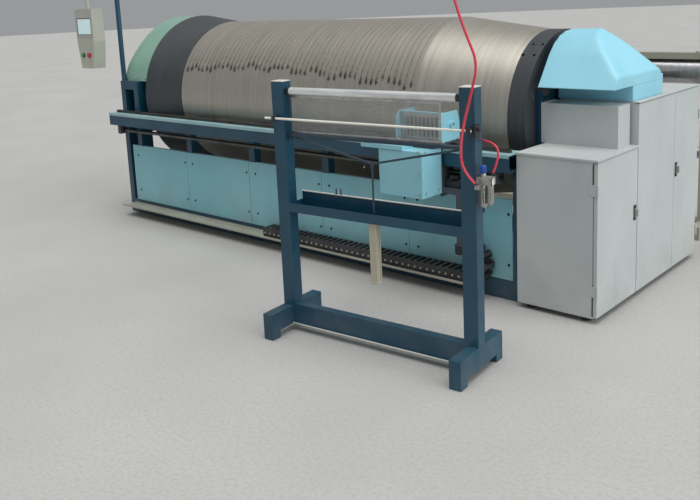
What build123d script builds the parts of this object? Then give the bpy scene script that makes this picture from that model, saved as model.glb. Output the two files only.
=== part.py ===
# Sectional warping machine: a drum with a fixed cone winds a warp section by section.
# Frame: X runs along the drum, Y from the operator side to the beaming side, Z up.
# The origin lies on the floor under the middle of the drum. All sizes are in millimetres.
import os
from math import cos, radians, sin, sqrt, tan

from build123d import *

os.makedirs("parts", exist_ok=True)

# Drum, cone and warp
drum_half = 1720.0
drum_radius = 500.0
drum_wall = 6.0
axis_z = 1000.0
cone_length = 1012.0
cone_rise = 139.0
cone_skin = 8.0
warp_depth = 83.0
bare_band = 116.0
shaft_radius = 50.0
spider_thickness = 12.0
hub_radius = 95.0
section_pitch = 46.5
end_disc_thickness = 8.0
band_hole_radius = 9.0
band_hole_groups = 3
band_hole_spots = ((58.6, 80.0), (58.6, 20.0), (48.0, 104.0), (48.0, 34.0))

# Fits
running_clearance = 0.05
body_gap = 0.3

# Side frames and long beams
plate_thickness = 30.0
plate_half_depth = 380.0
plate_rise = 180.0
drum_end_gap = 4.0
brake_space = 138.0
column_width = 58.0
column_depth = 110.0
column_front = -642.0
end_bay = 180.0
beam_seat_z = 700.0
rail_front = -780.0
rail_bottom = 775.0
rail_top = 868.0
rail_cover_thickness = 7.0
guide_width = 23.0
guide_height = 22.0
base_beam_height = 115.0
base_beam_depth = 80.0

# Front panels and chain tray
panel_count = 5
panel_setback = 100.0
panel_bottom = 118.0
panel_top = 590.0
panel_sheet = 3.0
panel_seam = 3.0
panel_flange = 22.0
tray_bottom = 85.0
tray_lip = 34.0
tray_sheet = 4.0
chain_pitch = 46.0
chain_height = 70.0
chain_width = 96.0
chain_bend = 80.0
chain_left = -282.0

# Cabinets at the drive end
cabinet_width = 467.0
cabinet_front = -706.0
cabinet_step = -211.0
cabinet_back = 691.0
cabinet_foot = 30.0
low_top = 867.0
roof_over_axis = 108.0
box_width = 456.0
box_front = -383.0
box_back = -235.0
sheet = 3.0
door_thickness = 20.0
door_gap = 3.0
door_seam_y = 312.0

# Covers over the drum ends
hood_width = 446.0
hood_mid_y = -124.5
hood_half_depth = 324.5
hood_front_rise = 98.0
hood_fold_rise = 154.0
hood_top_rise = 400.0
hood_lean_run = 228.0
cover_width = 308.0
cover_over_axis = 130.0
cover_sheet = 4.0

# Drive and brake
pulley_radius = 180.0
pulley_setback = 204.0
pulley_width = 60.0
motor_pulley_radius = 70.0
motor_y = 330.0
motor_z = 260.0
motor_radius = 110.0
belt_thickness = 8.0
brake_radius = 230.0
brake_offset = 75.0
brake_thickness = 14.0

# Carriage with section reed
carriage_left = 1045.0
carriage_right = 1352.0
carriage_front = -980.0
carriage_back = -782.0
carriage_bottom = 617.0
carriage_top = 883.0
shelf_left = 915.0
shelf_right = 1219.0
shelf_thickness = 25.0
cheek_left = 1085.0
cheek_right = 1395.0
cheek_top = 1085.0
dent_count = 60
dent_pitch = 4.0
dent_gap = 2.4
screw_radius = 14.0

# Guide stand, turned a little against the drum as it stands on the floor
stand_x = 932.0
stand_y = -1680.0
stand_turn = 5.7
stand_width = 1165.0
post_width = 75.0
post_depth = 65.0
stand_height = 1336.0
foot_height = 138.0
foot_front = -172.0
foot_back = 242.0
foot_width = 60.0
foot_arch = 38.0
tie_bottom = 47.0
tie_top = 150.0
tool_tray_bottom = 655.0
tool_tray_lip = 703.0
tool_tray_wall = 745.0
tool_tray_back = 115.0
roller_z = 1286.0
roller_radius = 20.0
rod_z = 1150.0
rod_radius = 6.0
rod_y = -25.0
reed_bottom = 1068.0
reed_top = 1264.0
reed_left = 84.0
reed_dents = 118
carrier_bottom = 1032.0
yoke_tip_z = 954.0
cylinder_side = 48.0
cylinder_bottom = 345.0

# Beaming unit behind the drum
beaming_left = -1900.0
beaming_right = 2160.0
beaming_y = 1270.0
guide_roller_z = 1130.0
guide_roller_radius = 85.0
warp_beam_y = 1480.0
warp_beam_z = 520.0
warp_beam_radius = 75.0
flange_radius = 400.0
flange_offset = 1500.0

# Pendant at the tail end
mast_x = -2039.0
mast_y = -622.0
mast_radius = 20.0
mast_top = 1960.0
pendant_x = -2215.0
pendant_y = -790.0
pendant_top = 1740.0
pendant_bottom = 1250.0
pendant_width = 250.0
pendant_depth = 110.0

cone_slope = cone_rise / cone_length
cone_base_x = -drum_half + cone_length
warp_radius = drum_radius + warp_depth
warp_left = cone_base_x - warp_depth / cone_slope
warp_right = drum_half - bare_band
warp_shoulder = warp_right - warp_depth / cone_slope
axle = (0, 0, axis_z)

# Places that follow from the drum: its side frames, panels, tray, cabinets and covers
right_plate_x = drum_half + drum_end_gap
left_plate_x = -drum_half - brake_space
right_column_x = right_plate_x
left_column_x = left_plate_x - plate_thickness
left_end_x = left_column_x - end_bay
panel_left = left_end_x + panel_setback
panel_width = (right_column_x - 2 - panel_left) / panel_count
tray_left = panel_left - 22
tray_right = right_column_x - 188
chain_loop_x = tray_right - 39
cabinet_left = right_plate_x + 62
cabinet_right = cabinet_left + cabinet_width
tall_top = axis_z + roof_over_axis
box_left = cabinet_left - 29
box_right = box_left + box_width
hood_left = cabinet_left - 14
hood_right = hood_left + hood_width
hood_front_z = tall_top + hood_front_rise
hood_fold_z = tall_top + hood_fold_rise
hood_top_z = tall_top + hood_top_rise
cover_left = left_end_x + 8
cover_right = cover_left + cover_width
cover_bottom = axis_z + cover_over_axis
pulley_x = cabinet_left + pulley_setback
brake_x = -drum_half - brake_offset

# The stand's reed reaches from post to post, and the yoke stands on the cylinder
reed_right = stand_width - post_width - 120
yoke_tip_x = stand_width / 2 + 7.5


def block(x0, x1, y0, y1, z0, z1, base=Plane.XY, mode=Mode.ADD):
    """A rectangular bar between the given limits of the base plane."""
    with BuildSketch(base.offset(z0)) as outline:
        with Locations(((x0 + x1) / 2, (y0 + y1) / 2)):
            Rectangle(x1 - x0, y1 - y0)
    extrude(outline.sketch, amount=z1 - z0, mode=mode)


def rod(start, direction, length, radius, bore=0.0, base=Plane.XY, mode=Mode.ADD):
    """A round bar or tube that starts at a point and runs in a direction."""
    origin = base.from_local_coords(Vector(*start))
    along = base.from_local_coords(Vector(*start) + Vector(*direction)) - origin
    with BuildSketch(Plane(origin=origin, z_dir=along)) as ring:
        Circle(radius)
        if bore > 0:
            Circle(bore, mode=Mode.SUBTRACT)
    extrude(ring.sketch, amount=length, mode=mode)


def side_profile(points, x0, x1, mode=Mode.ADD):
    """A shape drawn in Y and Z and extruded along X."""
    with BuildSketch(Plane.YZ.offset(x0)) as outline:
        with BuildLine():
            Polyline(*points, close=True)
        make_face()
    extrude(outline.sketch, amount=x1 - x0, mode=mode)


def front_profile(points, y0, y1, base=Plane.XY, mode=Mode.ADD):
    """A shape drawn in X and Z of the base plane and extruded towards +Y."""
    origin = base.from_local_coords(Vector(0, y1, 0))
    with BuildSketch(Plane(origin=origin, x_dir=base.x_dir, z_dir=-base.y_dir)) as outline:
        with BuildLine():
            Polyline(*points, close=True)
        make_face()
    extrude(outline.sketch, amount=y1 - y0, mode=mode)


def turned(points):
    """A shape drawn as (x, radius) pairs and turned about the drum axis."""
    with BuildSketch(Plane(origin=axle, x_dir=(1, 0, 0), z_dir=(0, -1, 0))) as outline:
        with BuildLine():
            Polyline(*points, close=True)
        make_face()
    revolve(outline.sketch, axis=Axis(axle, (1, 0, 0)))


def save(builder, name, beside=None):
    """Write a piece, with a second solid that is welded beside it if there is one."""
    piece = builder.part
    if beside is not None:
        piece = Compound([*builder.part.solids(), *beside.part.solids()])
    piece.label = name
    export_step(piece, f"parts/{name}.step")


def arch_curve(steps, middle, half_depth, foot_z, rise):
    """A smooth arch through the given steps, mirrored about its middle."""
    near = [(middle - half_depth * reach, foot_z + rise * lift) for reach, lift in steps]
    far = [(2 * middle - y, z) for y, z in reversed(near[:-1])]
    Spline(*near, *far, tangents=((0, 1), (0, -1)))


# The drum shell is rolled from plate. Its bare end is closed by a disc and drilled for hold-down pins
with BuildPart() as drum_shell:
    rod((-drum_half, 0, axis_z), (1, 0, 0), 2 * drum_half, drum_radius, drum_radius - drum_wall)
    disc_x = drum_half - end_disc_thickness
    rod((disc_x, 0, axis_z), (1, 0, 0), end_disc_thickness, drum_radius - drum_wall / 2, hub_radius)
    for angle, inset in band_hole_spots:
        for k in range(band_hole_groups):
            turn = radians(angle + 360 * k / band_hole_groups)
            outward = (0, -cos(turn), sin(turn))
            depth = drum_radius - 2 * drum_wall
            start = (drum_half - inset, depth * outward[1], axis_z + depth * outward[2])
            rod(start, outward, 3 * drum_wall, band_hole_radius, mode=Mode.SUBTRACT)
save(drum_shell, "drum_shell")

# The fixed cone is a skin on the shell
cone_end_radius = drum_radius + cone_rise
with BuildPart() as drum_cone:
    turned(
        [
            (-drum_half, drum_radius),
            (-drum_half, cone_end_radius),
            (cone_base_x, drum_radius),
            (cone_base_x - cone_skin / cone_slope, drum_radius),
            (-drum_half + cone_skin, cone_end_radius - cone_skin - cone_skin * cone_slope),
            (-drum_half + cone_skin, drum_radius),
        ]
    )
save(drum_cone, "drum_cone")

# The warp lies in a parallelogram: its left side follows the cone, its right side falls away.
# Each section ends in a knotted tail that lies on the warp, front high
tail_width = 7.0
first_tail = 40.0
section_count = int((warp_shoulder - warp_left - first_tail - tail_width) / section_pitch) + 1
tail_profile = ((6.5, -4.0), (6.5, 3.0), (4.5, 5.0), (2.0, 4.5), (0.0, 8.5), (-0.6, 3.0), (-0.6, -4.0))


def tail_points(top_angle):
    """The tail as seen from the drum end: thin at its lead, swollen at its knotted end."""
    points = []
    for along, height in tail_profile:
        angle = radians(top_angle - 7.0 + along)
        radius = warp_radius + height
        points.append((-radius * cos(angle), axis_z + radius * sin(angle)))
    return points


with BuildPart() as warp_pack:
    for k in range(section_count):
        tail_x = warp_left + first_tail + k * section_pitch
        top_angle = 31 + 3.5 * cos(0.1 * (k - 17)) + 1.6 * sin(0.9 * k)
        with BuildSketch(Plane.YZ.offset(tail_x)):
            with BuildLine():
                Polyline(*tail_points(top_angle), close=True)
            make_face()
    extrude(amount=tail_width)
    turned(
        [
            (cone_base_x, drum_radius),
            (warp_left, warp_radius),
            (warp_shoulder, warp_radius),
            (warp_right, drum_radius),
        ]
    )
save(warp_pack, "warp_pack")

# Spoked spiders on the shaft carry the shell. The shaft runs from the brake to the belt pulley
shaft_left = left_plate_x - 70
shaft_right = pulley_x + pulley_width + 20
spider_rim = drum_radius - drum_wall - 40
spider_stations = (-drum_half + 60, 0, drum_half - 60)
with BuildPart() as drum_shaft:
    for station in spider_stations:
        with BuildSketch(Plane.YZ.offset(station - spider_thickness / 2)):
            with Locations((0, axis_z)):
                Circle(drum_radius - drum_wall)
                Circle(spider_rim, mode=Mode.SUBTRACT)
                Circle(hub_radius)
                with PolarLocations(0, 6):
                    with Locations(((hub_radius + spider_rim) / 2 - 5, 0)):
                        Rectangle(spider_rim - hub_radius + 30, 70)
    extrude(amount=spider_thickness)
    rod((shaft_left, 0, axis_z), (1, 0, 0), shaft_right - shaft_left, shaft_radius)
    for station in spider_stations:
        for side in (-1, 1):
            face = station + side * spider_thickness / 2
            rod((face, 0, axis_z), (side, 0, 0), 30, shaft_radius + 22)
save(drum_shaft, "drum_shaft")

with BuildPart() as brake_disc:
    with BuildSketch(Plane.YZ.offset(brake_x)):
        with Locations((0, axis_z)):
            Circle(brake_radius)
            Circle(shaft_radius, mode=Mode.SUBTRACT)
            with PolarLocations(150, 8):
                Circle(28, mode=Mode.SUBTRACT)
    extrude(amount=brake_thickness)
    rod((brake_x + brake_thickness, 0, axis_z), (1, 0, 0), 30, 80, shaft_radius)
save(brake_disc, "brake_disc")

with BuildPart() as drum_pulley:
    with BuildSketch(Plane.YZ.offset(pulley_x)):
        with Locations((0, axis_z)):
            Circle(pulley_radius)
            Circle(shaft_radius, mode=Mode.SUBTRACT)
            with PolarLocations(135, 5):
                Circle(42, mode=Mode.SUBTRACT)
    extrude(amount=pulley_width)
    for flange_x in (pulley_x - 4, pulley_x + pulley_width):
        rod((flange_x, 0, axis_z), (1, 0, 0), 4, pulley_radius + 12, pulley_radius - 25)
save(drum_pulley, "drum_pulley")

# Each side frame is a pair of columns, a seat beam and the upright plate with the bearing bore
bearing_outer = 105.0
arch_beam = 70.0
mast_ledge = 20.0
mast_wall = 12.0
boom_depth = 80.0


def side_frame(column_x, width, plate_x, top_z):
    """Columns front and back, tied across, with the bearing plate standing on the seat beam."""
    for side in (-1, 1):
        near, far = sorted((side * -column_front, side * (-column_front - column_depth)))
        block(column_x, column_x + width, near, far, 0, top_z)
    inner = -column_front - column_depth
    block(column_x, column_x + width, -inner, inner, beam_seat_z, rail_bottom)
    block(column_x, column_x + width, -inner, inner, 20, base_beam_height)
    plate_top = axis_z + plate_rise
    block(plate_x, plate_x + plate_thickness, -plate_half_depth, plate_half_depth, rail_bottom, plate_top)
    rod((plate_x, 0, axis_z), (1, 0, 0), plate_thickness, bearing_outer - 30, mode=Mode.SUBTRACT)


with BuildPart() as side_frames:
    side_frame(left_column_x, column_width, left_plate_x, cover_bottom)
    side_frame(right_column_x, column_width, right_plate_x, rail_bottom)
    column_back = column_front + column_depth
    block(left_end_x, left_end_x + column_width, column_front, column_back, 0, cover_bottom)
    block(left_end_x, left_end_x + column_width, -column_back, -column_front, 0, cover_bottom)
    arch_z = cover_bottom - arch_beam
    block(left_end_x, left_end_x + column_width, column_back, -column_back, arch_z, cover_bottom)
    for near, far in ((column_front, column_back), (-column_back, -column_front)):
        block(left_end_x + column_width, left_column_x, near, far, arch_z, cover_bottom)
    rod((mast_x, mast_y, cover_bottom), (0, 0, 1), mast_top - cover_bottom, mast_radius)
    rod((mast_x, mast_y, mast_top - boom_depth - mast_ledge), (0, 0, 1), mast_ledge, mast_radius + mast_wall)
save(side_frames, "side_frames")

with BuildPart() as brake_caliper:
    caliper_y = 215.0
    pad_clear = 0.5
    left_jaw = brake_x - pad_clear
    right_jaw = brake_x + brake_thickness + pad_clear
    caliper_left = left_plate_x + plate_thickness
    block(caliper_left, left_jaw, caliper_y - 45, caliper_y + 60, axis_z - 55, axis_z + 55)
    block(right_jaw, right_jaw + 26, caliper_y - 45, caliper_y + 60, axis_z - 55, axis_z + 55)
    block(caliper_left, right_jaw + 26, caliper_y + 20, caliper_y + 60, axis_z - 55, axis_z + 55)
save(brake_caliper, "brake_caliper")

# Base beams tie the side frames on the floor, and legs on the front one carry the front rail
right_end_x = right_column_x + column_width
leg_stations = [panel_left + (k + 1) * panel_width + 40 for k in range(panel_count - 1)]
leg_side = 60.0
tie_side = 80.0
rail_wall = 6.0
with BuildPart() as machine_frame:
    beam_back = column_front + base_beam_depth
    block(left_end_x + column_width, left_column_x, column_front, beam_back, 0, base_beam_height)
    block(left_column_x + column_width, right_column_x, column_front, beam_back, 0, base_beam_height)
    block(left_column_x + column_width, right_column_x, -beam_back, -column_front, 0, base_beam_height)
    for tie_x in (-900.0, 0.0, 900.0):
        block(tie_x - tie_side / 2, tie_x + tie_side / 2, beam_back, -beam_back, 0, tie_side)
    for leg_x in leg_stations:
        leg_left = leg_x - leg_side / 2
        leg_back = column_front + leg_side
        block(leg_left, leg_left + leg_side, column_front, leg_back, base_beam_height, rail_top)
    block(left_end_x, right_end_x, rail_front, column_front, rail_bottom, rail_top)
    block(
        left_end_x - 1,
        right_end_x + 1,
        rail_front + rail_wall,
        column_front - rail_wall,
        rail_bottom + rail_wall,
        rail_top - rail_wall,
        mode=Mode.SUBTRACT,
    )
save(machine_frame, "machine_frame")

with BuildPart() as rail_cover:
    cover_top = rail_top + rail_cover_thickness
    block(left_end_x, right_end_x, rail_front, column_front, rail_top, cover_top)
    block(left_end_x, right_end_x, rail_front - 3, rail_front, rail_top - 14, cover_top)
save(rail_cover, "rail_cover")

# A profiled guide rail on the cover carries the traversing carriage
guide_y = (rail_front + column_front) / 2 - 8
guide_top = cover_top + guide_height
with BuildPart() as guide_rail:
    guide_front = guide_y - guide_width / 2
    guide_back = guide_y + guide_width / 2
    side_profile(
        [
            (guide_front, cover_top),
            (guide_front, cover_top + 8),
            (guide_front + 3.5, cover_top + 11),
            (guide_front + 3.5, cover_top + 14),
            (guide_front, cover_top + 17),
            (guide_front, guide_top),
            (guide_back, guide_top),
            (guide_back, cover_top + 17),
            (guide_back - 3.5, cover_top + 14),
            (guide_back - 3.5, cover_top + 11),
            (guide_back, cover_top + 8),
            (guide_back, cover_top),
        ],
        left_end_x + 40,
        right_end_x - 20,
    )
save(guide_rail, "guide_rail")

# The traverse screw hangs under the rail
screw_y = guide_y
screw_z = rail_bottom - 45
screw_left = left_end_x + 60
screw_right = right_column_x - 20
with BuildPart() as traverse_screw:
    rod((screw_left, screw_y, screw_z), (1, 0, 0), screw_right - screw_left, screw_radius)
save(traverse_screw, "traverse_screw")

# Flange bearings on the outer faces of the plates, and two end blocks for the screw
bearing_flange = 22.0
bearing_boss = 26.0
screw_block = 40.0
with BuildPart() as bearing_housings:
    for face, direction in ((left_plate_x, -1), (right_plate_x + plate_thickness, 1)):
        seat = Plane(origin=(face, 0, axis_z), x_dir=(0, 1, 0), z_dir=(direction, 0, 0))
        with BuildSketch(seat) as flange:
            RectangleRounded(2 * bearing_outer, 2 * bearing_outer, 22)
            Circle(shaft_radius + running_clearance, mode=Mode.SUBTRACT)
        extrude(flange.sketch, amount=bearing_flange)
        boss_x = face + direction * bearing_flange
        rod((boss_x, 0, axis_z), (direction, 0, 0), bearing_boss, 82, shaft_radius + running_clearance)
    for block_x in (screw_left + 10, screw_right - 10 - screw_block):
        block(block_x, block_x + screw_block, screw_y - 35, screw_y + 35, screw_z - 30, rail_bottom)
        screw_bore = screw_radius + running_clearance
        rod((block_x, screw_y, screw_z), (1, 0, 0), screw_block, screw_bore, mode=Mode.SUBTRACT)
save(bearing_housings, "bearing_housings")

# Folded panels close the front between the base beam and the rail
with BuildPart() as front_panels:
    for k in range(panel_count):
        x0 = panel_left + k * panel_width + panel_seam / 2
        x1 = panel_left + (k + 1) * panel_width - panel_seam / 2
        block(x0, x1, column_front - panel_sheet, column_front, panel_bottom, panel_top)
        block(x0, x1, column_front, column_front + panel_flange, panel_top - panel_sheet, panel_top)
        block(x0, x1, column_front, column_front + panel_flange, panel_bottom, panel_bottom + panel_sheet)
    notches = [(leg_x - leg_side / 2, leg_x + leg_side / 2) for leg_x in leg_stations]
    notches.append((left_column_x, left_column_x + column_width))
    flange_back = column_front + panel_flange
    for near, far in notches:
        block(near - 1, far + 1, column_front, flange_back, panel_bottom, panel_top, mode=Mode.SUBTRACT)
save(front_panels, "front_panels")

screw_head = 6.5
panel_face = column_front - panel_sheet
with BuildPart() as panel_screws:
    for k in range(panel_count):
        for edge in (70, panel_width - 26):
            for height in (panel_bottom + 90, panel_top - 85):
                centre = (panel_left + k * panel_width + edge, panel_face, height)
                rod(centre, (0, -1, 0), 4, screw_head)
    for pin_x in (-368.0, -332.0):
        rod((pin_x, panel_face, panel_top - 40), (0, -1, 0), 16, 5)
        rod((pin_x, panel_face - 16, panel_top - 60), (0, 0, 1), 40, 6.5)
save(panel_screws, "panel_screws")

# The chain tray is a plate on brackets with a flat strip welded along its front edge
bracket_count = 7
bracket_pitch = 500.0
lip_back = rail_front + tray_sheet
with BuildPart() as tray_strip:
    block(tray_left, tray_right, rail_front, lip_back, tray_bottom, tray_bottom + tray_lip)
with BuildPart() as chain_tray:
    block(tray_left, tray_right, lip_back, column_front, tray_bottom, tray_bottom + tray_sheet)
    for k in range(bracket_count):
        x = tray_left + 90 + k * bracket_pitch
        block(x, x + 40, rail_front + 30, column_front, tray_bottom - 30, tray_bottom)
save(chain_tray, "chain_tray", tray_strip)

# The drag chain lies in the tray, bends round at the drive end and comes up to the carriage arm
chain_y = (rail_front + tray_sheet + column_front) / 2
chain_floor = tray_bottom + tray_sheet
chain_mid_z = chain_floor + chain_height / 2
chain_loop_z = chain_mid_z + chain_bend
chain_run = int((chain_loop_x - chain_left) / chain_pitch)

# Links as (x, z, turn in degrees), first along the tray and then round the bend
chain_links = [(chain_loop_x - (k + 0.5) * chain_pitch, chain_mid_z, 0.0) for k in range(chain_run)]
loop_links = 5
loop_radius = chain_bend
for k in range(loop_links):
    turn = 180 * (k + 0.5) / loop_links
    link_x = chain_loop_x + loop_radius * sin(radians(turn))
    link_z = chain_loop_z - loop_radius * cos(radians(turn))
    chain_links.append((link_x, link_z, turn))
for k in range(2):
    chain_links.append((chain_loop_x - (k + 0.5) * chain_pitch, chain_loop_z + loop_radius, 180.0))
cheek_width = 9.0
cheek_corner = 9.0
bar_length = 20.0
bar_height = 7.0
link_gap = 0.6
half_link = (chain_pitch - link_gap) / 2
half_cheek = chain_height / 2
cheek_outline = [
    (half_link, half_cheek - cheek_corner),
    (half_link - cheek_corner, half_cheek),
    (-half_link + cheek_corner, half_cheek),
    (-half_link, half_cheek - cheek_corner),
    (-half_link, -half_cheek + cheek_corner),
    (-half_link + cheek_corner, -half_cheek),
    (half_link - cheek_corner, -half_cheek),
    (half_link, -half_cheek + cheek_corner),
]
with BuildPart() as drag_chain:
    for side in (-1, 1):
        outer = max(side * chain_width / 2, side * (chain_width / 2 - cheek_width))
        with BuildSketch(Plane.XZ.offset(-chain_y - outer)):
            for link_x, link_z, turn in chain_links:
                with BuildLine(Location((link_x, link_z, 0), (0, 0, turn))):
                    Polyline(*cheek_outline, close=True)
                make_face()
        extrude(amount=cheek_width)
    with BuildSketch(Plane.XZ.offset(-chain_y - (chain_width / 2 - cheek_width))):
        for link_x, link_z, turn in chain_links:
            for side in (-1, 1):
                reach = side * (chain_height - bar_height) / 2
                spot = (link_x - reach * sin(radians(turn)), link_z + reach * cos(radians(turn)))
                with Locations(spot):
                    Rectangle(bar_length, bar_height, rotation=turn)
    extrude(amount=chain_width - 2 * cheek_width)
save(drag_chain, "drag_chain")

# The low cabinet at the front corner holds the control gear behind its own door
shell_right = cabinet_right - door_thickness
low_rear = cabinet_step - 1
with BuildPart() as low_cabinet:
    block(cabinet_left, shell_right, cabinet_front, low_rear, cabinet_foot, low_top)
    block(
        cabinet_left + sheet,
        shell_right + 1,
        cabinet_front + sheet,
        low_rear - sheet,
        cabinet_foot + sheet,
        low_top - sheet,
        mode=Mode.SUBTRACT,
    )
    rim = 22.0
    block(shell_right - sheet, shell_right, cabinet_front, low_rear, cabinet_foot, low_top)
    block(
        shell_right - sheet - 1,
        shell_right + 1,
        cabinet_front + rim,
        low_rear - rim,
        cabinet_foot + rim,
        low_top - rim,
        mode=Mode.SUBTRACT,
    )
save(low_cabinet, "low_cabinet")

# The worktop closes the low cabinet and the roof sheet the tall one, each with a small lip
lip = 4.0
worktop_thickness = 12.0
roof_thickness = 6.0
slot_margin = 25.0
slot_front = -205.0
slot_back = 245.0
slot_left = pulley_x - slot_margin
slot_right = pulley_x + pulley_width + slot_margin
with BuildPart() as cabinet_tops:
    worktop_top = low_top + worktop_thickness
    block(cabinet_left - lip, cabinet_right + lip, cabinet_front - lip, low_rear, low_top, worktop_top)
    block(cabinet_left, cabinet_right + lip, cabinet_step, cabinet_back, tall_top, tall_top + roof_thickness)
    roof_top = tall_top + roof_thickness
    block(slot_left, slot_right, slot_front, slot_back, tall_top - 1, roof_top + 1, mode=Mode.SUBTRACT)
save(cabinet_tops, "cabinet_tops")

# The tall cabinet has a slot in its roof for the belt and a bore for the drum shaft
shaft_opening = 90.0
with BuildPart() as tall_cabinet:
    block(cabinet_left, shell_right, cabinet_step, cabinet_back, cabinet_foot, tall_top)
    block(
        cabinet_left + sheet,
        shell_right - sheet,
        cabinet_step + sheet,
        cabinet_back - sheet,
        cabinet_foot + sheet,
        tall_top - sheet,
        mode=Mode.SUBTRACT,
    )
    sill = cabinet_foot + rim
    lintel = tall_top - rim
    doorways = ((cabinet_step + rim, door_seam_y - rim / 2), (door_seam_y + rim / 2, cabinet_back - rim))
    for y0, y1 in doorways:
        block(shell_right - sheet - 1, shell_right + 1, y0, y1, sill, lintel, mode=Mode.SUBTRACT)
    rod((cabinet_left - 1, 0, axis_z), (1, 0, 0), sheet + 2, shaft_opening, mode=Mode.SUBTRACT)
    under_roof = tall_top - sheet - 1
    block(slot_left, slot_right, slot_front, slot_back, under_roof, tall_top + 1, mode=Mode.SUBTRACT)
save(tall_cabinet, "tall_cabinet")

# The switch box stands on the worktop, held off the tall cabinet by a spacer strip
box_floor = low_top + worktop_thickness
with BuildPart() as switch_box:
    block(box_left, box_right, box_front, box_back, box_floor, tall_top)
    block(
        box_left + sheet,
        box_right - sheet,
        box_front + sheet,
        box_back - sheet,
        box_floor - 1,
        tall_top - sheet,
        mode=Mode.SUBTRACT,
    )
    for near, far in ((box_front + sheet, box_front + 20), (box_back - 20, box_back - sheet)):
        block(box_left + sheet, box_right - sheet, near, far, box_floor, box_floor + sheet)
    block(cabinet_left + 30, box_right - 30, box_back, cabinet_step, box_floor + 20, tall_top - 60)
save(switch_box, "switch_box")

with BuildPart() as cabinet_feet:
    for foot_x in (cabinet_left + 60, shell_right - 60):
        for foot_y in (cabinet_front + 60, cabinet_step - 60, cabinet_step + 60, cabinet_back - 60):
            rod((foot_x, foot_y, 0), (0, 0, 1), 12, 30)
            rod((foot_x, foot_y, 12), (0, 0, 1), cabinet_foot - 12, 10)
save(cabinet_feet, "cabinet_feet")


def door_pan(y0, y1, z0, z1):
    """A folded door: a skin with returned edges, open towards the cabinet."""
    block(shell_right + body_gap, cabinet_right, y0, y1, z0, z1)
    block(
        shell_right,
        cabinet_right - 2,
        y0 + 2,
        y1 - 2,
        z0 + 2,
        z1 - 2,
        mode=Mode.SUBTRACT,
    )
    for y in (y0 + 2, y1 - 17):
        block(shell_right + body_gap, shell_right + 2, y, y + 15, z0 + 2, z1 - 2)


door_bottom = cabinet_foot + 6
latch_radius = 7.0
low_latch = (cabinet_right, low_rear - 32, 505.0)
tall_latch = (cabinet_right, door_seam_y + 30, 640.0)
latch_bore = latch_radius + running_clearance
with BuildPart() as low_door:
    door_pan(cabinet_front + door_gap, low_rear - door_gap, door_bottom, low_top - 4)
    rod((cabinet_right - 3, *low_latch[1:]), (1, 0, 0), 5, latch_bore, mode=Mode.SUBTRACT)
save(low_door, "low_door")

with BuildPart() as tall_front_door:
    door_pan(cabinet_step + door_gap, door_seam_y - door_gap / 2, door_bottom, tall_top - 4)
save(tall_front_door, "tall_front_door")

with BuildPart() as tall_rear_door:
    door_pan(door_seam_y + door_gap / 2, cabinet_back - door_gap, door_bottom, tall_top - 4)
    rod((cabinet_right - 3, *tall_latch[1:]), (1, 0, 0), 5, latch_bore, mode=Mode.SUBTRACT)
save(tall_rear_door, "tall_rear_door")


def latch(seat):
    """A quarter-turn latch: spindle through the skin, wing handle outside, cam inside."""
    x, y, z = seat
    rod((x - 12, y, z), (1, 0, 0), 18, latch_radius)
    with BuildSketch(Plane.YZ.offset(x + body_gap)) as plate:
        with Locations((y, z)):
            RectangleRounded(20, 52, 8)
    extrude(plate.sketch, amount=6)
    block(x + 6, x + 20, y - 4, y + 4, z - 20, z + 20)
    block(x - 12, x - 9, y - 6, y + 6, z - 6, z + 24)


with BuildPart() as low_door_latch:
    latch(low_latch)
save(low_door_latch, "low_door_latch")
with BuildPart() as tall_door_latch:
    latch(tall_latch)
save(tall_door_latch, "tall_door_latch")

# Hinge barrels stand outside the corner that each door turns on
hinge_reach = 5.0
hinge_radius = 5.0
hinge_length = 60.0
front_hinge = (cabinet_right + hinge_reach, cabinet_front - hinge_reach)
rear_hinge = (cabinet_right + hinge_reach, cabinet_back + hinge_reach)
with BuildPart() as door_hinges:
    for low_z in (150.0, low_top - 177):
        x, y = front_hinge
        rod((x, y, low_z), (0, 0, 1), hinge_length, hinge_radius)
        block(shell_right - 25, x, y + hinge_radius - 2, cabinet_front, low_z, low_z + hinge_length)
    for low_z in (150.0, tall_top - 208):
        x, y = rear_hinge
        rod((x, y, low_z), (0, 0, 1), hinge_length, hinge_radius)
        block(shell_right - 25, x, cabinet_back, y - hinge_radius + 2, low_z, low_z + hinge_length)
save(door_hinges, "door_hinges")

# Control gear on its mounting plate, behind the low door
plate_x = cabinet_left + sheet + 25
with BuildPart() as control_gear:
    block(plate_x, plate_x + 3, cabinet_front + 40, low_rear - 40, 110, 800)
    for y in (cabinet_front + 60, low_rear - 70):
        for z in (140, 760):
            rod((cabinet_left + sheet, y, z), (1, 0, 0), 25, 8)
    face_x = plate_x + 3
    block(face_x, face_x + 150, cabinet_front + 70, cabinet_front + 230, 520, 770)
    block(face_x, face_x + 120, cabinet_front + 260, cabinet_front + 400, 560, 770)
    for k in range(6):
        block(face_x, face_x + 85, cabinet_front + 80 + k * 52, cabinet_front + 125 + k * 52, 360, 445)
    for z in (300, 480):
        block(face_x, face_x + 40, cabinet_front + 60, low_rear - 60, z, z + 35)
    block(face_x, face_x + 45, cabinet_front + 70, low_rear - 80, 180, 230)
save(control_gear, "control_gear")

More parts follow.
